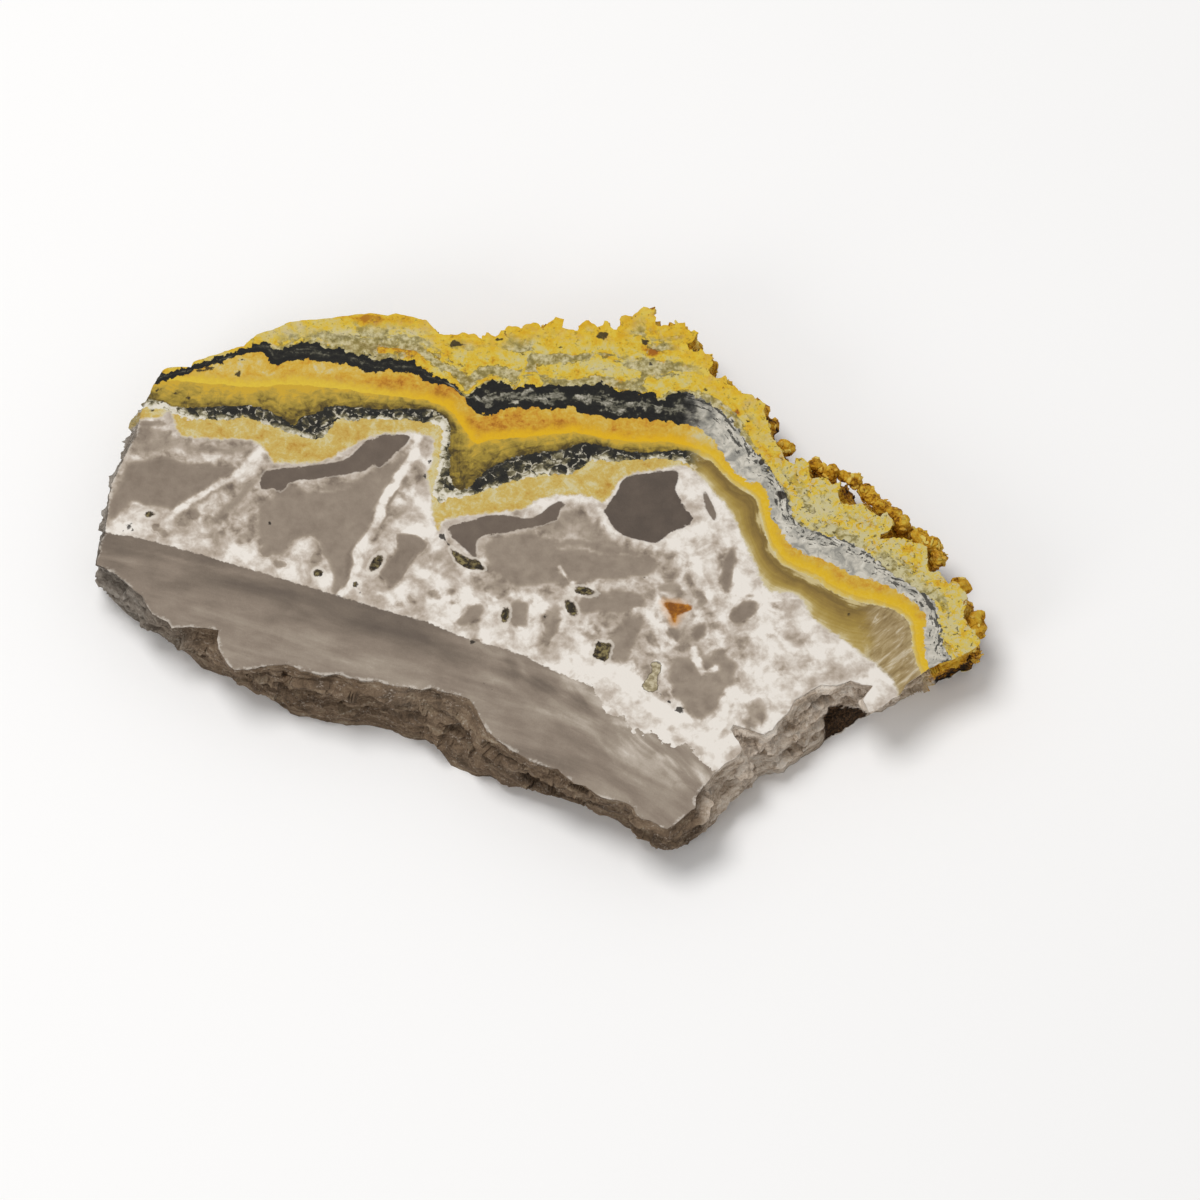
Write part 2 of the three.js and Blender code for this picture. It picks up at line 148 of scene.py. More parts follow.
# Grey chalcedony with a crisp edge: outline and darkness.
CRISP_PATCHES = [
    ([(258, 490), (260, 475), (266, 469), (280, 468), (300, 466), (325, 463), (342, 460), (350, 455),
      (358, 447), (368, 438), (385, 433), (400, 433), (412, 435), (402, 447), (392, 455), (385, 463),
      (378, 466), (372, 464), (363, 472), (355, 471), (345, 475), (330, 475), (312, 480), (300, 479),
      (290, 482), (280, 490), (270, 488)], 0.8),
    ([(601, 511), (617, 493), (620, 482), (627, 475), (640, 473), (660, 471), (679, 469), (679, 480),
      (675, 487), (680, 500), (688, 510), (693, 519), (690, 526), (672, 531), (662, 540), (655, 544),
      (640, 540), (625, 537), (612, 527), (607, 515)], 0.95),
    ([(445, 530), (455, 524), (472, 520), (485, 515), (505, 514), (520, 518), (535, 518), (553, 502),
      (566, 500), (560, 512), (555, 522), (523, 529), (495, 535), (480, 535), (475, 545), (478, 561),
      (462, 547)], 0.78),
    ([(702, 490), (706, 490), (713, 503), (718, 518), (714, 522), (706, 510)], 0.6),
]

# Grey chalcedony that fades at its edge: outline, darkness and how softly it fades, in millimetres.
SOFT_PATCHES = [
    ([(95, 412), (180, 437), (262, 440), (300, 466), (290, 495), (250, 545), (200, 524), (150, 508),
      (120, 500), (100, 520)], 0.33, 1.2),
    ([(440, 532), (500, 512), (560, 505), (600, 516), (660, 545), (700, 560), (720, 620), (745, 655),
      (740, 700), (690, 712), (640, 690), (600, 640), (540, 612), (480, 592), (455, 562)], 0.36, 1.6),
    ([(520, 522), (560, 505), (600, 512), (615, 535), (655, 548), (640, 562), (570, 545),
      (530, 538)], 0.46, 1.2),
    ([(262, 470), (420, 432), (432, 440), (425, 470), (400, 520), (350, 530), (300, 500),
      (262, 500)], 0.36, 0.8),
    ([(104, 520), (110, 490), (122, 460), (140, 455), (180, 457), (251, 461), (235, 480), (215, 497),
      (190, 512), (172, 518), (150, 506), (130, 499), (118, 520)], 0.6, 0.6),
    ([(128, 430), (139, 419), (155, 424), (170, 429), (176, 438), (253, 442), (262, 452), (251, 458),
      (160, 453), (125, 457)], 0.45, 0.8),
    ([(139, 418), (160, 420), (170, 428), (150, 428), (136, 426)], 0.66, 0.5),
    ([(238, 482), (262, 470), (257, 492), (240, 505), (226, 520), (205, 518), (220, 500)], 0.5, 0.8),
    ([(262, 498), (290, 487), (312, 484), (345, 479), (372, 471), (392, 459), (415, 442), (424, 441),
      (413, 465), (396, 505), (368, 555), (345, 590), (333, 593), (325, 575), (322, 548), (314, 536),
      (300, 542), (285, 556), (264, 556), (250, 536), (252, 515)], 0.54, 0.5),
    ([(403, 482), (411, 476), (396, 506), (366, 556), (341, 592), (333, 593), (338, 567),
      (360, 537)], 0.7, 0.6),
    ([(392, 535), (400, 530), (412, 531), (421, 538), (427, 552), (415, 560), (405, 575), (395, 585),
      (388, 592), (386, 582), (378, 573), (377, 570), (385, 560), (393, 553)], 0.62, 0.35),
    ([(480, 541), (502, 531), (564, 535), (621, 541), (664, 563), (655, 575), (612, 584), (570, 582),
      (530, 592), (500, 580), (480, 563)], 0.52, 0.5),
    ([(570, 592), (650, 589), (652, 608), (618, 622), (600, 612), (578, 618)], 0.52, 0.5),
    ([(608, 620), (650, 612), (644, 640), (630, 668), (612, 676), (598, 662)], 0.5, 0.5),
    ([(508, 603), (524, 598), (537, 606), (534, 624), (520, 632), (508, 622)], 0.52, 0.5),
    ([(540, 606), (556, 600), (565, 612), (560, 640), (550, 654), (541, 640)], 0.48, 0.6),
    ([(457, 622), (470, 603), (488, 602), (489, 614), (474, 628), (460, 630)], 0.52, 0.4),
    ([(475, 580), (500, 574), (511, 584), (506, 600), (484, 602)], 0.42, 0.7),
    ([(725, 545), (734, 546), (739, 562), (733, 594), (726, 592), (717, 574)], 0.62, 0.5),
    ([(687, 537), (695, 540), (698, 562), (696, 578), (688, 566)], 0.5, 0.5),
    ([(655, 582), (672, 578), (688, 582), (684, 594), (660, 594)], 0.5, 0.5),
    ([(691, 596), (702, 590), (709, 600), (704, 612), (694, 612)], 0.46, 0.5),
    ([(660, 628), (672, 622), (683, 630), (678, 644), (664, 642)], 0.6, 0.4),
    ([(690, 632), (700, 620), (711, 624), (709, 638), (694, 642)], 0.6, 0.4),
    ([(664, 652), (700, 650), (746, 652), (742, 690), (716, 712), (700, 730), (682, 712),
      (664, 690)], 0.5, 0.8),
    ([(755, 597), (742, 598), (731, 610), (730, 620), (740, 629), (750, 618), (764, 606)], 0.62, 0.35),
    ([(764, 606), (782, 600), (792, 602), (776, 612)], 0.4, 0.5),
    ([(716, 546), (722, 548), (722, 568), (715, 560)], 0.5, 0.4),
    ([(738, 700), (760, 690), (772, 712), (756, 740), (740, 730)], 0.44, 0.8),
    ([(786, 704), (824, 704), (828, 740), (790, 764), (776, 740)], 0.46, 0.6),
]

# Small grey cells in the white: place, half sizes and darkness.
GREY_CELLS = [
    (122, 503, 7, 6, 0.5), (140, 497, 3, 3, 0.5), (154, 527, 4, 4, 0.48), (163, 533, 6, 5, 0.5),
    (180, 523, 5, 5, 0.5), (192, 513, 5, 5, 0.5), (204, 534, 5, 4, 0.35), (246, 540, 7, 8, 0.4),
    (267, 552, 7, 6, 0.52), (280, 561, 7, 5, 0.5), (317, 558, 6, 6, 0.46), (434, 594, 5, 6, 0.55),
    (410, 596, 5, 5, 0.42), (397, 606, 5, 3, 0.4), (451, 593, 7, 7, 0.36), (475, 641, 4, 3, 0.66),
    (566, 576, 10, 7, 0.42), (743, 639, 5, 6, 0.4), (774, 632, 9, 5, 0.26), (800, 640, 12, 5, 0.22),
    (812, 664, 12, 5, 0.24), (780, 668, 10, 6, 0.26), (748, 652, 9, 5, 0.3), (835, 676, 10, 5, 0.22),
    (703, 658, 9, 6, 0.46), (350, 604, 3, 3, 0.3), (133, 474, 9, 5, 0.2), (232, 508, 7, 5, 0.38),
    (218, 526, 5, 6, 0.34), (362, 590, 5, 6, 0.3), (596, 640, 5, 9, 0.36), (640, 600, 6, 5, 0.5),
]

# White veins: from, to, half width and strength.
WHITE_VEINS = [
    (251, 462, 165, 520, 4, 0.7), (418, 436, 343, 592, 5, 0.86), (476, 652, 543, 709, 3, 0.35),
    (262, 450, 240, 478, 7, 0.7), (430, 486, 438, 600, 9, 0.4), (300, 490, 350, 486, 2, 0.2),
    (560, 545, 660, 560, 2, 0.2), (640, 610, 668, 640, 5, 0.7), (656, 660, 680, 706, 3, 0.6),
    (604, 664, 700, 738, 11, 1.0), (690, 545, 712, 610, 5, 0.7), (560, 566, 575, 584, 2, 0.7),
    (745, 600, 800, 600, 1.5, 0.7), (694, 648, 699, 672, 4, 0.75), (699, 673, 716, 670, 4, 0.7),
    (566, 612, 552, 650, 3, 0.5), (734, 690, 712, 732, 6, 0.85), (760, 600, 740, 700, 6, 0.5),
]

# Darker and paler stretches of the smooth rock under the white: place, half sizes, turn in degrees, tone.
ROCK_TONES = [
    (380, 628, 75, 8, 14, 0.22), (245, 585, 60, 8, 15, 0.2), (130, 552, 40, 6, 12, 0.2),
    (175, 586, 22, 7, 0, 0.24), (185, 606, 14, 6, 0, 0.2), (506, 668, 20, 12, 30, 0.3),
    (545, 684, 22, 10, 30, 0.34), (582, 704, 18, 10, 40, 0.3), (440, 655, 60, 10, 15, 0.12),
    (330, 662, 80, 10, 5, -0.14), (430, 700, 70, 14, 12, -0.16), (560, 760, 70, 22, 24, 0.06),
    (250, 655, 40, 8, 0, -0.1), (120, 560, 30, 3, 14, -0.22), (515, 690, 40, 5, 38, -0.2),
    (180, 560, 90, 2.5, 14, -0.2), (600, 790, 40, 14, 30, -0.12), (625, 745, 26, 12, 30, -0.08),
    (655, 776, 30, 16, 30, 0.04), (288, 700, 20, 4, 0, 0.14),
]

# Warm and pale mottles of the yellow layers: place, half sizes and tone, above zero for ochre.
YELLOW_TONES = [
    (320, 452, 30, 8, 0.5), (230, 431, 22, 6, 0.4), (282, 444, 12, 8, 0.25), (192, 430, 12, 6, 0.1),
    (606, 490, 7, 13, 0.75), (640, 466, 30, 4, 0.1), (560, 484, 30, 8, -0.3), (490, 503, 24, 6, -0.35),
    (436, 470, 8, 36, -0.45), (300, 455, 10, 5, 0.3), (460, 505, 14, 5, -0.2), (400, 425, 40, 5, 0.15),
    (368, 317, 15, 5, 1.1), (399, 318, 13, 5, 1.1), (380, 345, 22, 6, 0.6), (402, 352, 18, 6, 0.7),
    (520, 424, 60, 9, 0.55), (450, 394, 26, 10, 0.55), (390, 384, 60, 9, 0.35), (640, 431, 50, 6, 0.2),
    (225, 360, 30, 8, -0.5), (250, 372, 20, 6, -0.3), (320, 368, 30, 5, -0.4), (300, 330, 40, 8, -0.5),
    (345, 333, 16, 5, -0.9), (405, 337, 26, 6, -0.7), (430, 362, 10, 5, 0.2), (168, 380, 8, 5, 0.6),
    (180, 374, 10, 6, 0.3), (165, 402, 12, 8, -0.5), (260, 395, 40, 5, 0.05), (410, 329, 30, 4, -0.5),
    (470, 428, 13, 12, 0.5), (600, 362, 60, 7, -0.25), (520, 350, 40, 7, -0.2), (640, 372, 40, 7, -0.2),
    (820, 510, 26, 12, -0.6), (846, 540, 20, 8, -0.5), (790, 470, 14, 10, -0.2), (880, 560, 20, 8, -0.6),
    (915, 590, 12, 10, -0.6), (930, 640, 10, 18, -0.7), (870, 520, 20, 10, -0.2), (800, 452, 20, 8, 0.2),
    (148, 413, 9, 5, 0.2), (600, 340, 30, 7, 0.1), (640, 330, 16, 7, 0.2), (737, 411, 4, 3, 1.2),
    (652, 350, 7, 5, 1.2), (167, 381, 4, 3, 1.4), (700, 372, 30, 8, -0.3), (760, 430, 20, 9, -0.1),
    (706, 440, 18, 12, -0.9), (470, 352, 20, 6, -0.2),
]

# Dark pin holes and stains on the face: place, half sizes and turn in degrees.
DARK_SPOTS = [
    (156, 388, 4, 2.2, 0), (170, 393, 5, 1.6, -18), (159, 400, 3, 1.6, 0), (202, 368, 8, 2.2, -12),
    (150, 410, 3, 2, 0), (148, 515, 3, 1.6, 0), (584, 591, 7, 2.6, 12), (571, 608, 3.6, 7, -25),
    (505, 615, 2.4, 6, 8), (545, 615, 2, 2, 0), (645, 578, 1.5, 1.5, 0), (645, 340, 5, 3, 0),
    (428, 460, 1.6, 3, 0), (424, 475, 1.6, 3, 0), (440, 537, 2, 3, 0), (679, 709, 4, 2.6, 0),
    (474, 642, 2.4, 1.8, 0), (484, 683, 2, 1, 0), (490, 690, 2, 1, 0), (762, 461, 3.4, 4.4, 0),
    (783, 495, 7, 4, 30), (850, 615, 3, 2, 0), (270, 523, 1.8, 2.4, 0), (316, 573, 3.4, 2.4, 0),
    (240, 358, 4, 1.4, 0), (236, 372, 3, 3, 0), (186, 395, 3, 4, 10), (696, 347, 6, 3, 0),
    (455, 342, 9, 4, 0), (603, 333, 7, 4, 0), (560, 345, 3, 2, 0), (523, 352, 3, 1.6, 0),
    (578, 360, 3, 2, 0), (650, 362, 4, 2, 0), (705, 388, 3, 2, 0), (748, 420, 3, 2, 0), (285, 675, 5, 4, 0),
    (128, 528, 5, 1.4, 40), (360, 592, 2, 1.6, 0), (500, 337, 4, 2, 0),
]

# Olive linings of the open holes: place, half sizes and turn in degrees.
OLIVE_LININGS = [
    (376, 563, 5, 9, 30), (148, 514, 5, 3, 0), (584, 591, 10, 4, 10), (571, 608, 5, 9, -25),
    (505, 615, 4, 8, 8), (355, 584, 3, 3, 0), (318, 573, 5, 4, 0),
]

# Linings of the larger holes, as outlines.
HOLE_OUTLINES = [
    [(449, 546), (456, 551), (463, 556), (470, 559), (478, 560), (483, 566), (485, 570), (476, 570),
     (464, 568), (455, 560)],
    [(596, 641), (604, 643), (612, 642), (610, 652), (607, 662), (600, 660), (591, 656), (595, 650)],
    [(650, 661), (662, 662), (661, 669), (657, 680), (659, 690), (650, 693), (640, 687), (645, 680),
     (652, 671)],
]

# Cracks: from, to and half width in millimetres.
CRACKS = [(656, 691, 676, 708, 0.1), (132, 520, 122, 532, 0.12), (450, 548, 442, 534, 0.14)]

# Hollows in the broken side, where they show from the front; they are sunk and painted dark as painted
# shade.
SIDE_HOLLOWS = [
    [(822, 706), (846, 705), (862, 708), (870, 716), (866, 726), (850, 733), (838, 741), (828, 753),
     (823, 742)],
    [(281, 670), (288, 670), (289, 678), (282, 678)],
]

RUST_STAIN = [
    (662, 601), (672, 602), (692, 604), (694, 607), (692, 611), (683, 614), (676, 616), (677, 624),
    (672, 622), (670, 614), (665, 608),
]

# Where along x, in grid steps, the speckled layer turns into clear olive, the dark one breaks up and the
# crust begins.
SPECKLE_ENDS = (684, 706)
DARK_ENDS = (676, 724)
CRUST_STARTS = (430, 452)

WARM_SPREAD = 1.3  # how far the mottles of the yellow layers reach past their drawn sizes

FLOOR_HALF = 9000
CAMERA_AIM = (600, 600)  # grid step that the camera looks at
CAMERA_ELEVATION = 61.04
CAMERA_AWAY = 2500
CAMERA_LENS = 600
CAMERA_REACH = 100000
SENSOR = 36

# Soft lights, aimed at the stone: name, place, size and power.
LIGHTS = [("overhead", (-250, 150, 900), 500, 4.6), ("front_left", (-700, -700, 450), 450, 2.2)]
SKY_STRENGTH = 0.46


def linear(code):
    """The scene colour of a six-digit colour code."""
    parts = [int(code[i:i + 2], 16) / 255 for i in (0, 2, 4)]
    return [c / 12.92 if c <= 0.04045 else ((c + 0.055) / 1.055) ** 2.4 for c in parts] + [1.0]


def smooth_step(low, high, values):
    share = np.clip((values - low) / (high - low), 0, 1)
    return share * share * (3 - 2 * share)


class FaceGrid:
    """Turns steps of the drawing grid into millimetres in the stone's own frame."""

    def __init__(self, low_corner):
        self.shift = (low_corner.x / MM - FACE_LEFT, low_corner.y / MM - FACE_FRONT)

    def points(self, steps):
        steps = np.asarray(steps, float)
        x = (steps[..., 0] - GRID_ORIGIN[0]) / GRID_ACROSS + self.shift[0]
        y = (GRID_ORIGIN[1] - steps[..., 1]) / GRID_DEEP + self.shift[1]
        return np.stack([x, y], axis=-1)

    def steps_across(self, x):
        return (x - self.shift[0]) * GRID_ACROSS + GRID_ORIGIN[0]

    def steps_from_front(self, places, thickness):
        """Where places show on the drawing grid to a viewer at the front, who looks down at the stone."""
        down = GRID_DROP * (thickness / MM - places[:, 2]) - GRID_DEEP * (places[:, 1] - self.shift[1])
        return np.stack([self.steps_across(places[:, 0]), GRID_ORIGIN[1] + down], axis=-1)


# Distances from drawn curves

def rounded(points, closed, times=2):
    """Cuts the corners of a drawn line, so that it runs smoothly."""
    for _ in range(times):
        following = np.roll(points, -1, axis=0)
        near = 0.75 * points + 0.25 * following
        far = 0.25 * points + 0.75 * following
        cut = np.stack([near, far], axis=1).reshape(-1, 2)
        points = cut if closed else np.concatenate([points[:1], cut[:-2], points[-1:]])
    return points


def curve_distance(where, points, closed):
    """Distance of each place from a line of points, and how far along the line the nearest spot is."""
    starts = points if closed else points[:-1]
    ends = np.roll(points, -1, axis=0) if closed else points[1:]
    best = np.full(len(where), np.inf)
    run = np.zeros(len(where))
    walked = 0.0
    for start, end in zip(starts, ends):
        along = end - start
        length = math.hypot(*along)
        if length == 0:
            continue
        offset = where - start
        share = np.clip((offset @ along) / length ** 2, 0, 1)
        gap = np.hypot(offset[:, 0] - share * along[0], offset[:, 1] - share * along[1])
        nearer = gap < best
        best[nearer] = gap[nearer]
        run[nearer] = walked + share[nearer] * length
        walked += length
    return best, run


def inside_outline(where, points):
    within = np.zeros(len(where), bool)
    for (ax, ay), (bx, by) in zip(points, np.roll(points, -1, axis=0)):
        if ay == by:
            continue
        crosses = (ay > where[:, 1]) != (by > where[:, 1])
        meets = ax + (where[:, 1] - ay) * (bx - ax) / (by - ay)
        within ^= crosses & (where[:, 0] < meets)
    return within


def beyond_boundary(where, boundary):
    """Signed distance from a layer boundary, above zero on its far side, and the run along it."""
    far = 200
    curve = rounded(boundary, False)
    gap, run = curve_distance(where, curve, False)
    corners = [(curve[-1][0], -far), (far, -far), (far, far), (-far, far), (-far, curve[0][1])]
    region = np.concatenate([curve, corners])
    return np.where(inside_outline(where, region), gap, -gap), run


def into_patch(where, outline, times=2):
    """Signed distance from a closed outline, above zero inside."""
    curve = rounded(outline, True, times)
    gap, _ = curve_distance(where, curve, True)
    return np.where(inside_outline(where, curve), gap, -gap)


def line_gap(where, grid, ax, ay, bx, by):
    """Distance of each place from a straight line on the grid."""
    return curve_distance(where, grid.points([(ax, ay), (bx, by)]), False)[0]


def oval_share(where, grid, x, y, half_x, half_y, turn=0):
    """1 at the middle of an oval on the grid, 0 on its edge and below zero outside it."""
    angle = math.radians(turn)
    offset = where - grid.points((x, y))
    along = offset[:, 0] * math.cos(angle) - offset[:, 1] * math.sin(angle)
    across = offset[:, 0] * math.sin(angle) + offset[:, 1] * math.cos(angle)
    return 1 - np.hypot(along / (half_x / GRID_ACROSS), across / (half_y / GRID_DEEP))


def into_oval(where, grid, x, y, half_x, half_y, turn=0):
    """About how far each place lies inside an oval on the grid, in millimetres."""
    narrow = min(half_x / GRID_ACROSS, half_y / GRID_DEEP)
    return narrow * oval_share(where, grid, x, y, half_x, half_y, turn)


# Values on the corners of a mesh

def corner_places(data):
    """The corners, in millimetres."""
    places = np.zeros(3 * len(data.vertices))
    data.vertices.foreach_get("co", places)
    return places.reshape(-1, 3) / MM


def corner_values(data, name):
    values = np.zeros(len(data.vertices))
    data.attributes[name].data.foreach_get("value", values)
    return values


def store_values(data, name, values):
    layer = data.attributes.new(name, "FLOAT", "POINT")
    layer.data.foreach_set("value", values.astype(np.float32))


# The stone's surface

def open_side(node, thickness):
    """A merged copy of the solid without its two sawn faces."""
    mesh = bmesh.new()
    mesh.from_mesh(node.data)
    bmesh.ops.remove_doubles(mesh, verts=mesh.verts, dist=WELD * MM)
    bmesh.ops.triangulate(mesh, faces=mesh.faces)
    level = LEVEL * MM
    sawn = []
    for face in mesh.faces:
        heights = [vert.co.z for vert in face.verts]
        if max(heights) < level or min(heights) > thickness - level:
            sawn.append(face)
    bmesh.ops.delete(mesh, geom=sawn, context="FACES")
    return mesh


def pit_corners(mesh):
    """The corners of the pits in the face, which stand apart from the side once the sawn faces are gone."""
    unseen = set(mesh.verts)
    islands = []
    while unseen:
        front = [unseen.pop()]
        island = set(front)
        while front:
            vert = front.pop()
            linked = {edge.other_vert(vert) for edge in vert.link_edges} & unseen
            unseen -= linked
            island |= linked
            front.extend(linked)
        islands.append(island)
    side = max(islands, key=len)
    return {vert for island in islands if island is not side for vert in island}


def split_long_edges(mesh, limit):
    for _ in range(SPLIT_ROUNDS):
        long_edges = [edge for edge in mesh.edges if edge.calc_length() > limit]
        if not long_edges:
            return
        bmesh.ops.subdivide_edges(mesh, edges=long_edges, cuts=1)
        bmesh.ops.triangulate(mesh, faces=[face for face in mesh.faces if len(face.verts) > 3])


def chip_height(place, size):
    """Height of the flat, slanting chip that covers a place, for chips of about the given size."""
    nearest = noise.voronoi(place / size)[1][0]
    slant = noise.cell_vector(nearest * CHIP_SPREAD) - Vector((0.5, 0.5, 0.5))
    return slant.dot(place - nearest * size)


def stretched(place, along, up):
    return Vector((place.x * along, place.y * along, place.z * up))


def break_relief(place, crusted):
    """How far the broken side stands out at a place, in millimetres."""
    ledge = noise.noise(stretched(place, *LEDGE_WAVES))
    squat = stretched(place, *CHIP_WAVES)
    chipped = sum(relief * chip_height(squat, size) for size, relief in CHIPS)
    rough = noise.fractal(place * 1.1, 0.9, 2.1, 4)
    knobs = noise.fractal(place * 0.75 + Vector((3, 8, 5)), 0.8, 2.2, 4)
    stepped = math.floor(ledge * LEDGE_STEPS) / LEDGE_STEPS
    plain = LEDGE_RELIEF * (stepped + chipped) + BREAK_RELIEF * rough
    return (1 - crusted) * plain + crusted * CRUST_RELIEF * knobs


def side_hollows(places, thickness, grid):
    """How far each place on the side lies inside one of the drawn hollows, in millimetres."""
    seen = grid.steps_from_front(places, thickness) / GRID_ACROSS
    outlines = [np.array(outline) / GRID_ACROSS for outline in SIDE_HOLLOWS]
    return np.max([into_patch(seen, outline, 1) for outline in outlines], axis=0)


def weather_side(mesh, thickness, grid):
    """Breaks the side into ledges, chips and knobs, and leaves the corners of the sawn faces flat."""
    mesh.normal_update()
    moves = []
    level = LEVEL * MM
    places = np.array([vert.co[:] for vert in mesh.verts]) / MM
    sunk = HOLLOW_DEPTH * smooth_step(0.0, 1.0, side_hollows(places, thickness, grid))
    for vert, sink in zip(mesh.verts, sunk):
        place = vert.co / MM
        started = float(smooth_step(*CRUST_STARTS, grid.steps_across(place.x)))
        crusted = started if place.y > CRUST_FRONT else 0.0
        on_rim = vert.co.z > thickness - level or vert.co.z < level
        if on_rim:
            jitter = noise.noise_vector(place * 1.3) + 0.6 * noise.noise_vector(place * 3.1)
            moves.append(Vector((jitter.x, jitter.y, 0)) * (RIM_CRUMBLE + crusted * CRUST_CRUMBLE))
            continue
        height = vert.co.z / thickness
        free = min(1.0, FOOT_RISE * height, TOP_RISE * (1 - height))
        out = vert.normal * (break_relief(place, crusted) - sink) * free
        out.z *= UPWARD_SHARE
        moves.append(out)
    for vert, move in zip(mesh.verts, moves):
        vert.co += move * MM
        vert.co.z = min(max(vert.co.z, 0), thickness)


def boundary_at(mesh, height):
    edges = [edge for edge in mesh.edges if edge.is_boundary]
    return [edge for edge in edges if all(abs(vert.co.z - height) < LEVEL * MM for vert in edge.verts)]


def hexagon_points(low, high, step):
    """An even net of points, row by row."""
    points = []
    rows = int((high[1] - low[1]) / (step * HEXAGON_ROW)) + 1
    columns = int((high[0] - low[0]) / step) + 1
    for row in range(rows):
        offset = 0.5 * step * (row % 2)
        for column in range(columns):
            points.append((low[0] + offset + column * step, low[1] + row * step * HEXAGON_ROW))
    return np.array(points)


def net_inside(rim, step):
    """An even net of points over the rim's reach, clear of the rim's own corners."""
    inner = hexagon_points(rim.min(axis=0), rim.max(axis=0), step)
    gap = np.full(len(inner), np.inf)
    for point in rim:
        gap = np.minimum(gap, np.hypot(inner[:, 0] - point[0], inner[:, 1] - point[1]))
    return inner[gap > FACE_MARGIN * step]


def fill_sawn_face(mesh, height, step, facing):
    """Closes one sawn face with an even net of corners that shares the rim's own."""
    edges = boundary_at(mesh, height)
    verts = list(dict.fromkeys(vert for edge in edges for vert in edge.verts))
    index = {vert: i for i, vert in enumerate(verts)}
    rim = np.array([(vert.co.x, vert.co.y) for vert in verts]) / MM
    loops = [(index[edge.verts[0]], index[edge.verts[1]]) for edge in edges]
    places = [Vector(point) for point in np.concatenate([rim, net_inside(rim, step)])]
    found, _, faces, sources, _, _ = geometry.delaunay_2d_cdt(places, loops, [], 2, 1e-5)
    corners = []
    for place, source in zip(found, sources):
        rim_source = [i for i in source if i < len(verts)]
        if rim_source:
            corners.append(verts[rim_source[0]])
        else:
            corners.append(mesh.verts.new((place.x * MM, place.y * MM, height)))
    for face in faces:
        ring = [corners[i] for i in face]
        if len(set(ring)) < 3:
            continue
        made = mesh.faces.new(ring)
        made.normal_update()
        if made.normal.z * facing < 0:
            made.normal_flip()
    for corner in [c for c in corners if not c.link_faces]:
        mesh.verts.remove(corner)


def slab_mesh(node, thickness, grid):
    """The slab with its weathered side, and values that tell its side, rim and pits from its sawn faces."""
    mesh = open_side(node, thickness)
    split_long_edges(mesh, SIDE_EDGE * MM)
    weather_side(mesh, thickness, grid)
    broken = mesh.verts.layers.float.new("broken")
    rim = mesh.verts.layers.float.new("rim")
    pit = mesh.verts.layers.float.new("pit")
    pits = pit_corners(mesh)
    for vert in mesh.verts:
        open_edge = any(edge.is_boundary for edge in vert.link_edges)
        vert[pit] = 1.0 if vert in pits else 0.0
        vert[broken] = 0.0 if open_edge or vert in pits else 1.0
        vert[rim] = 1.0 if open_edge and vert not in pits and vert.co.z > 0.5 * thickness else 0.0
    fill_sawn_face(mesh, thickness, FACE_STEP, 1)
    fill_sawn_face(mesh, 0.0, UNDERSIDE_STEP, -1)
    data = bpy.data.meshes.new("banded_slab")
    mesh.to_mesh(data)
    mesh.free()
    return data


# The pattern, as values on the mesh's corners

def wandered(where, size, wave):
    """The places moved by a steady noise of the given size and wavelength, in millimetres."""
    moves = [noise.noise_vector(Vector((x / wave, y / wave, 1.7)))[:2] for x, y in where]
    return where + size * np.array(moves)


def filling_values(where, grid):
    """Darkness of the white and grey filling, and the strength of its white veins."""
    loose = wandered(wandered(where, 0.9, 3.6), 0.35, 1.6)
    web = np.zeros(len(where))
    for outline, dark, soft in SOFT_PATCHES:
        inside = into_patch(loose, grid.points(outline))
        web = np.maximum(web, dark * smooth_step(-0.9 * soft, 1.4 * soft, inside))
    for *cell, dark in GREY_CELLS:
        web = np.maximum(web, dark * smooth_step(-0.25, 0.3, oval_share(loose, grid, *cell)))
    vein = np.zeros(len(where))
    for *ends, half, strength in WHITE_VEINS:
        width = half / GRID_ACROSS
        share = strength * smooth_step(1.35 * width, 0.3 * width, line_gap(loose, grid, *ends))
        vein = np.maximum(vein, share)
        web = web * (1 - share)
    return web, vein


def crisp_values(where, grid):
    """How far each place lies inside the nearest crisp patch, and that patch's darkness."""
    inside = np.array([into_patch(where, grid.points(outline)) for outline, _ in CRISP_PATCHES])
    darkness = np.array([dark for _, dark in CRISP_PATCHES])
    return inside.max(axis=0), darkness[inside.argmax(axis=0)]


def rock_tones(where, grid):
    return sum(
        tone * smooth_step(-0.3, 0.8, oval_share(where, grid, *oval)) for *oval, tone in ROCK_TONES
    )


def yellow_tones(where, grid):
    tones = np.zeros(len(where))
    for x, y, half_x, half_y, tone in YELLOW_TONES:
        share = oval_share(where, grid, x, y, WARM_SPREAD * half_x, WARM_SPREAD * half_y)
        tones += tone * smooth_step(-0.2, 0.7, share)
    return tones


def spot_values(where, grid):
    """How far each place lies inside a dark spot or a crack."""
    ragged = wandered(where, 0.3, 0.9)
    spots = [into_oval(ragged, grid, *spot) for spot in DARK_SPOTS]
    cracks = [half - line_gap(where, grid, *ends) for *ends, half in CRACKS]
    return np.max(spots + cracks, axis=0)


def lining_values(where, grid):
    """How far each place lies inside the olive lining of a hole."""
    small = [into_oval(where, grid, *lining) for lining in OLIVE_LININGS]
    large = [into_patch(where, grid.points(outline), 1) for outline in HOLE_OUTLINES]
    return np.max(small + large, axis=0)


def gap_to_rim(data, places):
    """Distance in plan from the edge of the patterned face."""
    edge = places[corner_values(data, "rim") > 0.5]
    tree = kdtree.KDTree(len(edge))
    for i, place in enumerate(edge):
        tree.insert((place[0], place[1], 0), i)
    tree.balance()
    return np.array([tree.find((x, y, 0))[2] for x, y, _ in places])


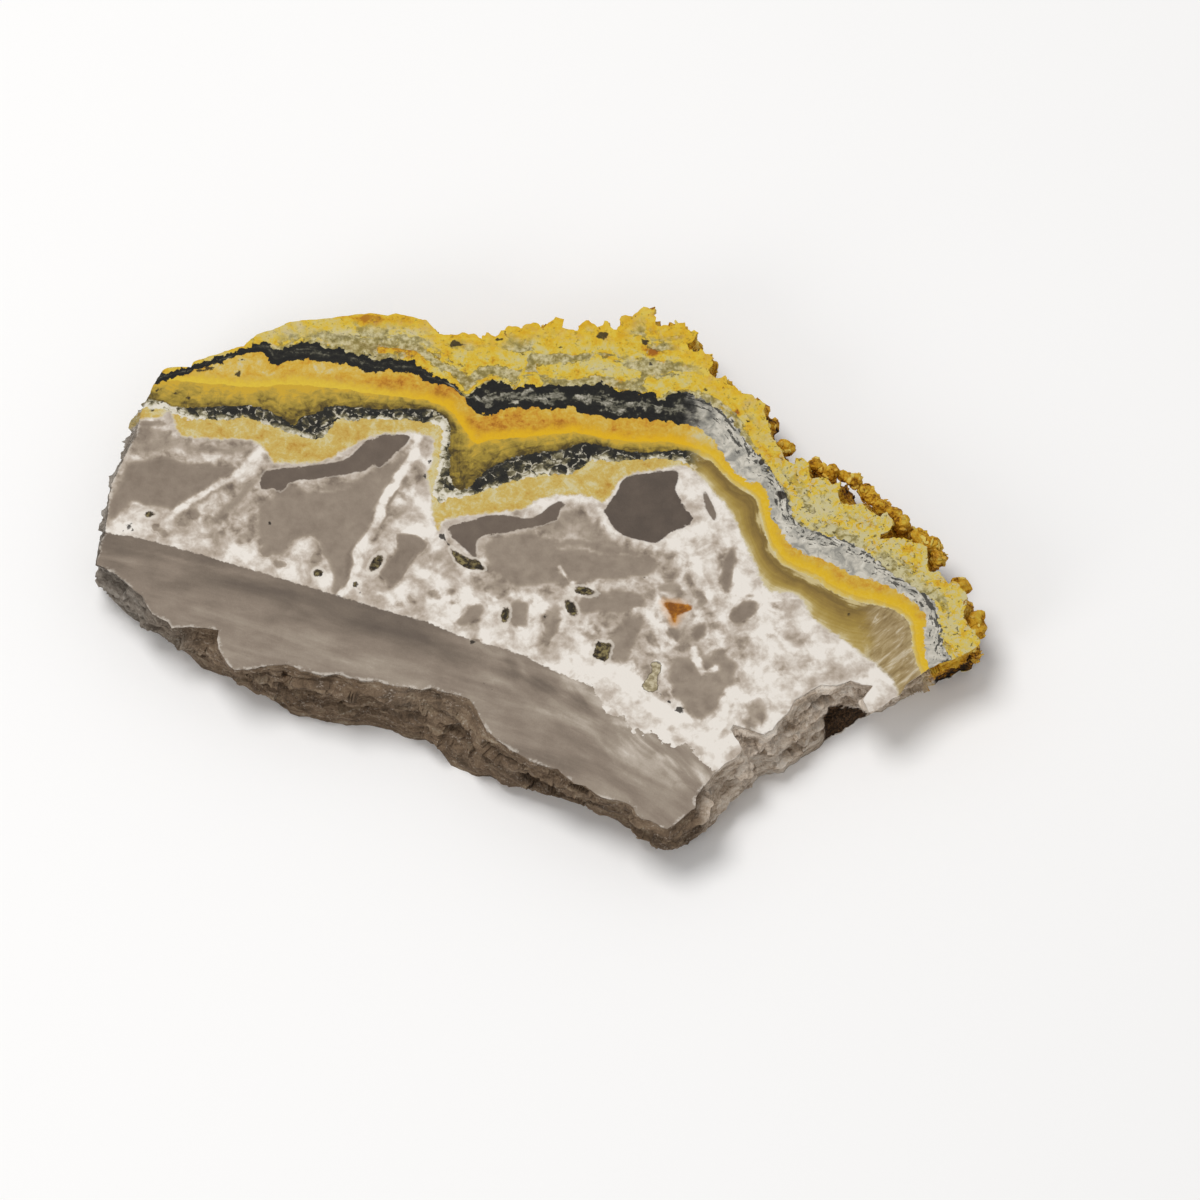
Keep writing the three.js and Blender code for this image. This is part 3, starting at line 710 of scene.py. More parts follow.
def paint_layers(data, thickness, grid):
    """Stores how far each corner is from every layer boundary, patch and mark."""
    places = corner_places(data)
    depth = 1 - places[:, 2] / (thickness / MM)
    where = places[:, :2] - depth[:, None] * np.array(LAYER_DIP)
    web, vein = filling_values(where, grid)
    crisp, crisp_tone = crisp_values(where, grid)
    values = {
        "web": web, "vein": vein, "crisp": crisp, "crisp_tone": crisp_tone,
        "rock": rock_tones(where, grid), "warm": yellow_tones(where, grid),
        "spot": spot_values(where, grid), "olive": lining_values(where, grid),
        "stain": into_patch(where, grid.points(RUST_STAIN)),
    }
    where = wandered(where, 0.16, 1.6)
    for name, boundary in BOUNDARIES.items():
        values[name], run = beyond_boundary(where, grid.points(boundary))
        if name == "speckle_top":
            values["run"] = run
    values["across"] = grid.steps_across(where[:, 0])
    values["rim_gap"] = gap_to_rim(data, places)
    values["shaded_hollow"] = side_hollows(places, thickness, grid)
    for name, numbers in values.items():
        store_values(data, name, numbers)


# Finishes

class Finish:
    """A material built step by step. Each method returns the socket that it makes."""

    def __init__(self, name, top=0.0):
        self.top = top
        self.material = bpy.data.materials.new(name)
        self.material.use_nodes = True
        self.tree = self.material.node_tree
        self.tree.nodes.clear()
        place = self.tree.nodes.new("ShaderNodeTexCoord").outputs["Object"]
        self.place = self.vector("SCALE", place, scale=1 / MM)

    def feed(self, socket, value):
        """Links a socket to another one, or sets its number or colour."""
        if isinstance(value, bpy.types.NodeSocket):
            self.tree.links.new(value, socket)
        else:
            socket.default_value = value

    def vector(self, operation, first, second=None, scale=None):
        node = self.tree.nodes.new("ShaderNodeVectorMath")
        node.operation = operation
        self.feed(node.inputs[0], first)
        if second is not None:
            self.feed(node.inputs[1], second)
        if scale is not None:
            self.feed(node.inputs["Scale"], scale)
        return node.outputs["Vector"]

    def value(self, name):
        node = self.tree.nodes.new("ShaderNodeAttribute")
        node.attribute_name = name
        return node.outputs["Fac"]

    def math(self, operation, *values):
        node = self.tree.nodes.new("ShaderNodeMath")
        node.operation = operation
        for socket, value in zip(node.inputs, values):
            self.feed(socket, value)
        return node.outputs[0]

    def add(self, *values):
        total = values[0]
        for value in values[1:]:
            total = self.math("ADD", total, value)
        return total

    def times(self, *values):
        total = values[0]
        for value in values[1:]:
            total = self.math("MULTIPLY", total, value)
        return total

    def inverse(self, value):
        return self.math("SUBTRACT", 1.0, value)

    def swing(self, value, weight, middle=0.5):
        """How far a value is from its middle, times a weight."""
        return self.times(self.math("SUBTRACT", value, middle), weight)

    def step(self, value, low, high):
        """0 below low and 1 above high, with a smooth rise between."""
        node = self.tree.nodes.new("ShaderNodeMapRange")
        node.interpolation_type = "SMOOTHSTEP"
        self.feed(node.inputs["Value"], value)
        node.inputs["From Min"].default_value = low
        node.inputs["From Max"].default_value = high
        return node.outputs["Result"]

    def fall(self, value, low, high):
        """1 below low and 0 above high."""
        return self.inverse(self.step(value, low, high))

    def band(self, value, low, high, soft):
        """1 between low and high."""
        rise = self.step(value, low - soft, low + soft)
        return self.times(rise, self.fall(value, high - soft, high + soft))

    def line(self, value, half, soft):
        """1 on a line where the value is zero."""
        return self.fall(self.math("ABSOLUTE", value), half, half + soft)

    def right_of(self, low, high, stray=None):
        """0 on the left of low and 1 on the right of high, in steps of the drawing grid."""
        across = self.value("across")
        return self.step(across if stray is None else self.add(across, stray), low, high)

    def left_of(self, low, high, stray=None):
        return self.inverse(self.right_of(low, high, stray))

    def mix(self, share, first, second):
        node = self.tree.nodes.new("ShaderNodeMix")
        node.data_type = "RGBA"
        self.feed(node.inputs["Factor"], share)
        self.feed(node.inputs[6], first)
        self.feed(node.inputs[7], second)
        return node.outputs[2]

    def tinted(self, colour, code, *shares):
        """A colour with another one laid over it, as far as the shares say."""
        return self.mix(self.times(*shares), colour, linear(code))

    def ramp(self, value, palette):
        """The colour at a value, from a palette of positions and colour codes."""
        node = self.tree.nodes.new("ShaderNodeValToRGB")
        elements = node.color_ramp.elements
        while len(elements) > 1:
            elements.remove(elements[-1])
        for i, (position, code) in enumerate(palette.items()):
            stop = elements.new(position) if i else elements[0]
            stop.position = position
            stop.color = linear(code)
        self.feed(node.inputs["Fac"], value)
        return node.outputs["Color"]

    def noise(self, scale, detail=3.0, rough=0.5, warp=0.0, place=None):
        node = self.tree.nodes.new("ShaderNodeTexNoise")
        self.feed(node.inputs["Vector"], self.place if place is None else place)
        node.inputs["Scale"].default_value = scale
        node.inputs["Detail"].default_value = detail
        node.inputs["Roughness"].default_value = rough
        node.inputs["Distortion"].default_value = warp
        return node.outputs["Fac"]

    def bent(self, size, scale, place=None):
        """The place, moved by a wandering amount."""
        start = self.place if place is None else place
        node = self.noise(scale, 3, 0.6, 0.0, start).node
        centred = self.vector("SUBTRACT", node.outputs["Color"], (0.5, 0.5, 0.5))
        return self.vector("ADD", self.vector("SCALE", centred, scale=size), start)

    def wobble(self, size, scale):
        """A value that wanders around zero, at most about size away from it."""
        return self.swing(self.noise(scale, 4.0, 0.6), size * 4)

    def ragged(self, name, size, scale):
        """A stored value that wanders, so that its edges look broken."""
        return self.add(self.value(name), self.wobble(size, scale))

    def cells(self, scale, feature, place):
        node = self.tree.nodes.new("ShaderNodeTexVoronoi")
        node.feature = feature
        self.feed(node.inputs["Vector"], place)
        node.inputs["Scale"].default_value = scale
        return node

    def red(self, colour):
        node = self.tree.nodes.new("ShaderNodeSeparateColor")
        self.feed(node.inputs[0], colour)
        return node.outputs["Red"]

    def combined(self, x, y, z=0.0):
        node = self.tree.nodes.new("ShaderNodeCombineXYZ")
        for socket, value in zip(node.inputs, (x, y, z)):
            self.feed(socket, value)
        return node.outputs[0]

    def part(self, name):
        """One coordinate of the place, in millimetres."""
        node = self.tree.nodes.new("ShaderNodeSeparateXYZ")
        self.feed(node.inputs[0], self.place)
        return node.outputs[name]

    def depth(self):
        """How far a place is below the patterned face, in millimetres."""
        return self.math("SUBTRACT", self.top, self.part("Z"))

    def surface(self, colour, roughness, height, bump_size, gloss):
        shader = self.tree.nodes.new("ShaderNodeBsdfPrincipled")
        output = self.tree.nodes.new("ShaderNodeOutputMaterial")
        bump = self.tree.nodes.new("ShaderNodeBump")
        bump.inputs["Distance"].default_value = bump_size * MM
        self.feed(bump.inputs["Height"], height)
        self.feed(shader.inputs["Base Color"], colour)
        self.feed(shader.inputs["Roughness"], roughness)
        self.feed(shader.inputs["Normal"], bump.outputs["Normal"])
        shader.inputs["Specular IOR Level"].default_value = gloss
        self.feed(output.inputs["Surface"], shader.outputs["BSDF"])


def rock_colour(f):
    """Smooth grey rock: darker streaks under its upper boundary, and white wisps that run into it."""
    below = f.times(f.value("rock_top"), -1.0)
    x = f.part("X")
    y = f.part("Y")
    bend = f.math("MAXIMUM", f.add(x, 4.0), 0.0)
    level = f.add(y, f.times(x, 0.3), f.times(bend, bend, 0.011))
    drawn_out = f.combined(f.times(x, 0.08), f.times(level, 0.32), f.times(f.part("Z"), 0.1))
    streaks = f.noise(1.0, 3, 0.5, 0.5, drawn_out)
    fine = f.noise(1.0, 3, 0.6, 0.6, f.combined(f.times(x, 0.4), f.times(level, 1.2)))
    clouds = f.noise(0.16, 4, 0.6, 0.4)
    grain = f.noise(5.0, 3, 0.7)
    left = f.left_of(420, 520)
    shade = f.times(f.fall(below, 1.0, 7.5), f.add(0.04, f.times(left, 0.2)))
    slanting = f.combined(f.times(f.math("SUBTRACT", x, y), 0.09), f.times(f.add(x, y), 0.22))
    wisp_noise = f.noise(1.0, 4, 0.5, 0.9, slanting)
    reach = f.times(f.fall(below, 1.0, 9.0), f.right_of(430, 520))
    wisps = f.times(f.step(wisp_noise, 0.4, 0.66), reach, f.add(0.2, f.times(f.right_of(560, 640), 0.16)))
    tone = f.add(
        f.swing(streaks, 0.6), f.swing(fine, 0.16), f.swing(grain, 0.14), f.swing(clouds, 0.35),
        f.times(f.value("rock"), -0.6), f.times(shade, -1.0), wisps, 0.54,
    )
    return f.ramp(tone, {
        0.0: "574c43", 0.2: "675b50", 0.35: "776a5d", 0.5: "897b6d", 0.65: "9c8f80", 0.8: "b8ac9e",
        1.0: "dcd4ca",
    })


def web_colour(f):
    """White and grey chalcedony: fluffy clouds, soft cells and a few dark crisp patches."""
    cloud = f.noise(0.3, 4, 0.5, 0.5)
    left = f.left_of(380, 560)
    feather = f.noise(1.1, 4, 0.55, 0.3)
    open_web = f.fall(f.value("web"), 0.3, 0.55)
    walls = f.cells(0.42, "DISTANCE_TO_EDGE", f.bent(2.4, 0.45)).outputs["Distance"]
    cell = f.step(f.add(walls, f.swing(feather, 0.2)), 0.02, 0.4)
    celled = f.step(f.value("web"), 0.08, 0.3)
    soft_noise = f.swing(cloud, f.add(0.3, f.times(open_web, 1.2)), 0.52)
    fine_noise = f.swing(feather, f.add(0.16, f.times(open_web, 0.4)))
    walled = f.swing(cell, f.add(0.06, f.times(celled, open_web, 0.4)))
    ridge = f.times(f.step(f.value("vein"), 0.1, 0.9), -0.22)
    tone = f.add(f.value("web"), soft_noise, fine_noise, walled, ridge, f.times(left, open_web, 0.08), 0.15)
    colour = f.ramp(tone, {
        0.0: "e8e1d8", 0.1: "dad1c6", 0.24: "c3b7aa", 0.38: "b0a293", 0.5: "a09282", 0.62: "928475",
        0.8: "7e7062", 1.0: "5f5248",
    })
    frayed = f.times(f.wobble(0.35, 0.9), f.step(cloud, 0.5, 0.6))
    crisp = f.add(f.ragged("crisp", 0.09, 1.6), frayed)
    dark_tone = f.add(f.value("crisp_tone"), f.swing(f.noise(0.45, 4, 0.6), 0.35))
    dark = f.ramp(dark_tone, {0.5: "85796c", 0.65: "75685b", 0.8: "675a4f", 1.0: "554a41"})
    colour = f.tinted(colour, "d0c6bb", f.band(crisp, -0.22, 0.0, 0.12), 0.3)
    return f.mix(f.step(crisp, -0.08, 0.14), colour, dark)


def mottled_yellow(f, pale, mid, strong, deep, warm_weight):
    """A yellow layer with pale, golden and ochre mottles."""
    broad = f.noise(0.55, 4, 0.6, 0.5)
    fine = f.noise(2.6, 4, 0.7, 0.3)
    tone = f.add(0.5, f.swing(broad, 1.7), f.swing(fine, 1.0), f.times(f.value("warm"), warm_weight))
    return f.ramp(tone, {0.0: "c8bb8f", 0.2: pale, 0.5: mid, 0.78: strong, 1.0: deep})


def layer_noise(f, along_scale, across_scale, boundary):
    """Streaks that follow a layer's boundary round its bends."""
    along = f.times(f.value("run"), along_scale)
    across = f.times(f.value(boundary), across_scale)
    return f.noise(1.0, 4, 0.62, 0.3, f.combined(along, across))


def speckled_colour(f):
    """Black, olive and grey grains in pale rims, whiter along the inner edge and at the turn."""
    bent = f.bent(1.5, 0.7)
    kind = f.red(f.cells(0.85, "F1", bent).outputs["Color"])
    rims = f.cells(0.85, "DISTANCE_TO_EDGE", bent).outputs["Distance"]
    wander = f.noise(1.1, 4, 0.62, 0.6)
    lower = f.fall(f.value("speckle_bottom"), 0.0, 1.0)
    start = f.left_of(160, 225, f.wobble(20, 0.6))
    turned = f.times(f.right_of(424, 432), f.left_of(456, 476))
    bright_stretch = f.times(f.right_of(486, 510), f.left_of(560, 590))
    tone = f.add(
        f.times(kind, 0.4), f.swing(wander, 1.1), f.times(lower, 0.34),
        f.times(start, 0.36), f.times(turned, 0.26), f.times(bright_stretch, 0.1), 0.1,
    )
    colour = f.ramp(tone, {
        0.16: "171612", 0.36: "23211a", 0.46: "3a3626", 0.56: "655d42", 0.68: "9b9378", 0.8: "cdc6b2",
        0.94: "ddd7c8",
    })
    rim = f.times(f.fall(rims, 0.02, 0.1), f.step(wander, 0.5, 0.58), 0.75)
    colour = f.tinted(colour, "cdc5b2", rim)
    outline = f.times(f.band(f.value("speckle_top"), -0.4, 0.1, 0.14), f.inverse(turned), f.inverse(start))
    return f.tinted(colour, "211f19", outline, f.step(f.noise(0.9), 0.36, 0.5), 0.85)


def dark_colour(f):
    """Black mineral in two strands, with olive-grey threads and pale flecks between them."""
    level = f.add(between(f, "dark_bottom", "dark_top"), f.wobble(0.3, 0.9))
    middle = f.times(f.band(level, 0.32, 0.7, 0.12), f.add(0.45, f.times(f.right_of(430, 470), 0.55)))
    flecks = layer_noise(f, 0.7, 1.5, "dark_bottom")
    grain = f.noise(3.0, 4, 0.72)
    patchy = f.step(f.noise(0.4, 3), 0.32, 0.48)
    tone = f.add(f.swing(flecks, 1.5), f.swing(grain, 0.7), f.times(middle, patchy, 0.52), 0.2)
    return f.ramp(tone, {
        0.2: "11100d", 0.42: "1e1d17", 0.52: "37352a", 0.64: "5c594b", 0.78: "827e70", 0.95: "b5afa1",
    })


def between(f, low, high):
    """Where a place is between two boundaries: 0 on the inner one, 1 on the outer one."""
    inner = f.math("MAXIMUM", f.value(low), 0.0)
    outer = f.math("MAXIMUM", f.times(f.value(high), -1.0), 0.0)
    return f.math("DIVIDE", inner, f.math("MAXIMUM", f.add(inner, outer), 0.01))


def clear_olive(f):
    """Translucent olive layer with thin lines along it, glassy at its tip."""
    level = between(f, "yellow_inner", "speckle_top")
    lines = layer_noise(f, 0.05, 2.0, "speckle_top")
    tone = f.add(level, f.wobble(0.2, 0.35), f.swing(lines, 0.5))
    colour = f.ramp(tone, {
        0.0: "c9ba8e", 0.14: "b0995a", 0.34: "a0863f", 0.58: "8c7236", 0.78: "77602f", 0.9: "8a7238",
        1.0: "c6b482",
    })
    tip = f.right_of(858, 878, f.wobble(6, 0.5))
    x = f.part("X")
    y = f.part("Y")
    slanting = f.combined(f.times(f.add(x, y), 0.25), f.math("SUBTRACT", x, y))
    glassy = f.ramp(f.noise(0.8, 5, 0.62, 0.4, slanting), {
        0.36: "7d6845", 0.46: "97825a", 0.55: "ab9771", 0.62: "cdc0a6", 0.7: "9a875f",
    })
    return f.mix(f.times(tip, 0.85), colour, glassy)


def olive_layer(f, clear):
    """From olive on the black grains to golden under the bright line."""
    thread = layer_noise(f, 0.1, 2.2, "speckle_top")
    mottle = f.noise(0.8, 4, 0.62, 0.5)
    left = f.left_of(250, 400)
    right = f.right_of(500, 620)
    rise = f.add(
        f.times(between(f, "speckle_top", "bright_line"), 0.85), f.swing(thread, 0.7),
        f.swing(mottle, 2.0), f.times(left, 0.18), f.times(right, 0.1), 0.08,
    )
    olive = f.ramp(rise, {
        0.0: "483a16", 0.12: "5f4f1c", 0.3: "7d6826", 0.5: "97802e", 0.7: "ac9036", 0.88: "bb9a34",
        1.0: "c6a02c",
    })
    cream = f.ramp(rise, {0.0: "cdc29a", 0.4: "cdb566", 1.0: "cda934"})
    return f.mix(clear, olive, cream)


def broken_band(f):
    """Pale blue-grey stretch at the right, with black dashes along its outer half."""
    pale = f.ramp(f.noise(0.8, 4, 0.6, 0.7), {
        0.34: "8f8c84", 0.44: "aba79c", 0.54: "c4beb1", 0.66: "d3cec2",
    })
    dashes = layer_noise(f, 0.9, 2.0, "dark_bottom")
    fine = f.swing(f.noise(2.2, 4, 0.7), 0.3)
    outer_half = f.times(f.step(f.value("dark_top"), -2.4, 0.0), 0.16)
    dash = f.step(f.add(dashes, fine, outer_half), 0.63, 0.68)
    return f.tinted(pale, "292823", dash, 0.88)


def outer_colour(f):
    """Outer skin: yellow and cream mottles, grey-olive shards along the layers and fine dark bits."""
    gap = f.value("rim_gap")
    more = f.right_of(340, 470)
    near_rim = f.fall(f.add(gap, f.wobble(0.8, 0.7)), 0.4, 3.2)
    colour = mottled_yellow(f, "c8ba78", "d2b436", "cb9c1c", "9c5c0c", 0.5)
    strong = f.ramp(f.noise(1.0, 4, 0.6), {0.35: "cc9a12", 0.5: "d6ac1c", 0.65: "dabd3e"})
    golden = f.times(f.left_of(730, 790), f.add(0.2, f.times(more, 0.55)))
    colour = f.mix(f.times(near_rim, golden), colour, strong)
    along = f.combined(f.times(f.value("run"), 0.15), f.times(f.value("dark_top"), 0.42))
    shards = f.add(f.noise(1.0, 3, 0.5, 0.3, along), f.swing(f.noise(1.4, 3, 0.6), 0.22))
    grey = f.ramp(f.noise(1.3, 4, 0.62), {0.38: "736839", 0.48: "94885a", 0.56: "b4aa80", 0.66: "c9c09c"})
    inside = f.inverse(near_rim)
    shards = f.add(shards, f.times(f.inverse(more), 0.04))
    colour = f.mix(f.times(f.step(shards, 0.5, 0.55), inside, 0.9), colour, grey)
    edge = f.times(f.line(f.math("SUBTRACT", shards, 0.51), 0.004, 0.012), inside)
    colour = f.tinted(colour, "4f4424", edge, f.step(f.noise(0.9), 0.45, 0.55), 0.7)
    chalky = f.right_of(740, 800)
    chips = f.step(f.noise(1.3, 4, 0.62, 0.8), 0.5, 0.56)
    colour = f.tinted(colour, "c4bb90", chips, chalky, 0.75)
    bits = f.step(f.noise(1.7, 4, 0.72, 0.4), 0.585, 0.63)
    colour = f.tinted(colour, "453b20", bits, f.add(0.4, f.times(chalky, 0.4)))
    pits = f.step(f.add(f.noise(0.75, 4, 0.7, 0.6), f.times(gap, -0.06)), 0.6, 0.63)
    pits = f.times(pits, f.right_of(440, 470), 0.85)
    return f.mix(pits, colour, f.ramp(f.noise(1.8, 3), {0.42: "2a2010", 0.55: "8a4f0c"}))


def face_colour(f):
    """The stone's layers, from the smooth rock at the front to the yellow skin at the back."""
    clear = f.right_of(*SPECKLE_ENDS)
    broken_up = f.right_of(*DARK_ENDS, stray=f.wobble(14, 0.8))
    scallops = f.swing(f.cells(1.0, "F1", f.bent(0.5, 1.5)).outputs["Distance"], 0.8, 0.45)
    diffuse = f.right_of(520, 620)
    rock_edge = f.add(f.ragged("rock_top", 0.18, 2.0), f.times(f.wobble(1.5, 0.4), diffuse))
    colour = f.mix(f.step(rock_edge, -0.12, 0.1), rock_colour(f), web_colour(f))

    inner_edge = f.ragged("yellow_inner", 0.26, 1.5)
    inner_yellow = mottled_yellow(f, "cdc192", "c6ac5c", "bf9c48", "b0812c", 0.3)
    colour = f.mix(f.step(inner_edge, -0.08, 0.08), colour, f.mix(clear, inner_yellow, clear_olive(f)))
    colour = f.tinted(colour, "cfc6b4", f.line(inner_edge, 0.08, 0.2), 0.45)

    speckle_edge = f.add(f.ragged("speckle_bottom", 0.3, 1.5), f.times(scallops, 0.5))
    speckled = f.times(f.step(speckle_edge, -0.06, 0.06), f.inverse(clear))
    colour = f.mix(speckled, colour, speckled_colour(f))

    olive_edge = f.add(f.ragged("speckle_top", 0.18, 1.8), f.times(scallops, 0.3, f.inverse(clear)))
    colour = f.mix(f.step(olive_edge, -0.06, 0.06), colour, olive_layer(f, clear))

    bright_edge = f.ragged("bright_line", 0.16, 1.2)
    golden = mottled_yellow(f, "cfb25a", "cba232", "c08722", "a3660e", 0.5)
    grains = f.swing(f.noise(2.4, 4, 0.7), 0.7)
    level = f.add(f.times(f.value("bright_line"), 0.4), f.wobble(0.2, 1.2), grains)
    lemon = f.ramp(level, {0.0: "d8b936", 0.35: "d2b036", 0.7: "c7a648", 1.0: "bd9d50"})
    deep = f.ramp(level, {0.0: "daac0c", 0.3: "d6a610", 0.7: "c99c20", 1.0: "bf9230"})
    creamy = f.ramp(level, {0.0: "d8b332", 0.25: "d6ad16", 0.55: "cfaa2c", 0.85: "cdb75c", 1.0: "cbbf8a"})
    bright = f.mix(clear, f.mix(f.right_of(330, 460), lemon, deep), creamy)
    reach = f.step(f.ragged("bright_line", 0.6, 0.7), 0.4, 2.0)
    colour = f.mix(f.step(bright_edge, -0.08, 0.08), colour, f.mix(reach, bright, golden))

    dark_edge = f.add(f.ragged("dark_bottom", 0.3, 1.4), f.times(scallops, 0.7))
    zone = f.mix(broken_up, dark_colour(f), broken_band(f))
    colour = f.mix(f.step(dark_edge, -0.06, 0.06), colour, zone)

    outer_edge = f.add(f.ragged("dark_top", 0.36, 1.4), f.times(scallops, -0.8))
    return f.mix(f.step(outer_edge, -0.06, 0.06), colour, outer_colour(f))


def marked_colour(f, colour):
    """Olive linings, rust, pin holes and painted shade deep in the pits."""
    lining = f.ragged("olive", 0.14, 1.9)
    grain = f.noise(1.5, 4, 0.65)
    dull = f.ramp(grain, {0.4: "241c11", 0.5: "4f4329", 0.6: "85784e"})
    beige = f.ramp(grain, {0.4: "8b7e5f", 0.5: "aa9d7e", 0.6: "c2b79b"})
    lined = f.mix(f.right_of(634, 637), dull, beige)
    colour = f.mix(f.step(lining, 0.0, 0.1), colour, lined)
    pale_edge = f.times(f.band(lining, -0.35, -0.08, 0.1), f.left_of(620, 634))
    colour = f.tinted(colour, "ded6ca", pale_edge, 0.5)
    dark_edge = f.line(f.math("SUBTRACT", lining, 0.05), 0.03, 0.06)
    colour = f.tinted(colour, "3a3020", dark_edge, 0.6)
    halo = f.step(f.ragged("stain", 0.25, 1.2), -1.0, 0.2)
    colour = f.tinted(colour, "cf9550", halo, f.left_of(676, 692), 0.6)
    rust = f.step(f.ragged("stain", 0.14, 1.5), -0.1, 0.25)
    rust_tones = f.ramp(f.noise(1.0, 4, 0.6), {0.38: "7d480a", 0.5: "9a5e0e", 0.62: "ba7a1a"})
    colour = f.mix(rust, colour, rust_tones)
    # Painted shade: the pits are coloured darker the deeper they go below the face.
    deep = f.times(f.value("pit"), f.step(f.depth(), 0.0, PIT_SHADE))
    colour = f.tinted(colour, "140e07", deep, 0.8)
    spots = f.step(f.ragged("spot", 0.26, 1.3), -0.02, 0.14)
    return f.tinted(colour, "241d13", spots, 0.92)


def flat_place(f):
    """The place with its height drawn out, for features that lie along the side."""
    return f.combined(f.times(f.part("X"), 0.35), f.times(f.part("Y"), 0.35), f.times(f.part("Z"), 1.4))


def side_colour(f, face):
    """The broken side: brown-grey rock, white at the right front, painted shade in its hollows, and a
    golden crust at the back, painted brighter higher up as painted light.
    """
    long = flat_place(f)
    flakes = f.noise(1.0, 5, 0.66, 0.3, long)
    grit = f.noise(3.2, 5, 0.75)
    edges = f.cells(0.7, "DISTANCE_TO_EDGE", f.bent(1.3, 0.9, long)).outputs["Distance"]
    tone = f.add(f.times(flakes, 0.85), f.times(grit, 0.36), -0.11)
    rock = f.ramp(tone, {
        0.36: "4b3a28", 0.45: "68533e", 0.52: "7a644d", 0.6: "8d7961", 0.7: "ab9c88", 0.8: "cdc2b2",
    })
    sharp = f.times(f.fall(edges, 0.0, 0.06), f.step(grit, 0.5, 0.6))
    rock = f.tinted(rock, "c9bdb0", sharp, 0.6)
    left = f.left_of(120, 215, f.wobble(12, 0.4))
    rock = f.mix(f.times(left, 0.7), rock, f.ramp(tone, {0.36: "5d5953", 0.5: "8a867f", 0.66: "b9b5ae"}))
    pale = f.ramp(tone, {0.36: "917b67", 0.43: "bea992", 0.5: "ddcbb7", 0.58: "eee0cf", 0.72: "f6eee3"})
    whitened = f.right_of(690, 712, f.wobble(8, 0.3))
    layered = f.add(0.2, f.times(f.step(f.value("yellow_inner"), -0.5, 0.5), 0.4))
    rock = f.mix(whitened, f.mix(layered, rock, face), f.mix(0.25, pale, face))
    # Painted shade: the sunk hollows are coloured near black.
    shaded_hollow = f.step(f.ragged("shaded_hollow", 0.3, 1.2), 0.0, 0.3)
    rock = f.mix(shaded_hollow, rock, f.ramp(grit, {0.38: "241a12", 0.52: "4a3828", 0.66: "75583c"}))
    # Painted light: the crust is painted brighter higher up the side, as if lit from above.
    lit = f.swing(f.part("Z"), 0.025, CRUST_MIDDLE)
    crust_tone = f.add(f.times(f.noise(0.8, 5, 0.7, 0.3), 0.75), f.times(grit, 0.35), lit)
    crust = f.ramp(crust_tone, {
        0.4: "1f1409", 0.47: "4a2f0c", 0.54: "aa7114", 0.61: "dba426", 0.75: "e8c84e",
    })
    start = f.right_of(*CRUST_STARTS, stray=f.wobble(26, 0.35))
    crusted = f.times(start, f.step(f.ragged("dark_bottom", 0.8, 0.6), -0.6, 0.2))
    return f.mix(crusted, rock, crust)


def worn_rim(f, colour):
    """The saw's edge: pale chips on the grey rock, and a painted shadow line down the left end."""
    gap = f.add(f.value("rim_gap"), f.times(f.depth(), 1.2))
    grey = f.fall(f.value("yellow_inner"), -0.5, 0.5)
    chips = f.step(f.add(f.noise(0.6, 4, 0.6), f.swing(f.noise(2.5, 3, 0.7), 0.5)), 0.47, 0.6)
    near = f.fall(f.add(gap, f.wobble(0.3, 0.9)), 0.0, 0.5)
    colour = f.tinted(colour, "d6cec3", chips, near, grey, 0.6)
    # Painted shadow: a dark line along the rim at the left end, where the side falls into shade.
    left = f.left_of(118, 150)
    line = f.fall(f.add(gap, f.wobble(0.12, 1.2)), 0.04, 0.2)
    return f.tinted(colour, "37312a", left, line, 0.8)


def jasper(thickness):
    f = Finish("banded_jasper", thickness / MM)
    face = marked_colour(f, face_colour(f))
    broken = f.value("broken")
    on_side = f.step(f.add(broken, f.wobble(0.22, 2.2)), 0.3, 0.5)
    colour = worn_rim(f, f.mix(on_side, face, side_colour(f, face)))
    grit = f.noise(4.5, 5, 0.7)
    flaked = f.cells(1.1, "F1", f.bent(1.0, 0.9, flat_place(f))).outputs["Distance"]
    polish = f.add(0.4, f.times(f.noise(3.0, 4, 0.6), 0.16))
    roughness = f.add(f.times(f.inverse(on_side), polish), f.times(on_side, 0.82))
    height = f.add(f.times(grit, f.add(0.04, f.times(on_side, 0.3))), f.times(flaked, on_side, 0.7))
    f.surface(colour, roughness, height, 0.8, 0.18)
    return f.material


def crust_grain():
    f = Finish("golden_crust")
    # Painted light: the grains are painted brighter the higher they sit on the side, as if lit from above.
    height = f.swing(f.part("Z"), 0.06, CRUST_MIDDLE)
    broad = f.swing(f.noise(0.5, 4, 0.6), 1.9)
    fine = f.swing(f.noise(3.5, 3, 0.7), 0.6)
    colour = f.ramp(f.add(broad, fine, height, 0.5), {
        0.16: "2e1c08", 0.27: "7a4e10", 0.38: "c68c1c", 0.52: "e4b234", 0.76: "f0d66a",
    })
    f.surface(colour, 0.6, f.noise(5.0, 4, 0.7), 0.2, 0.4)
    return f.material


# Crust grains

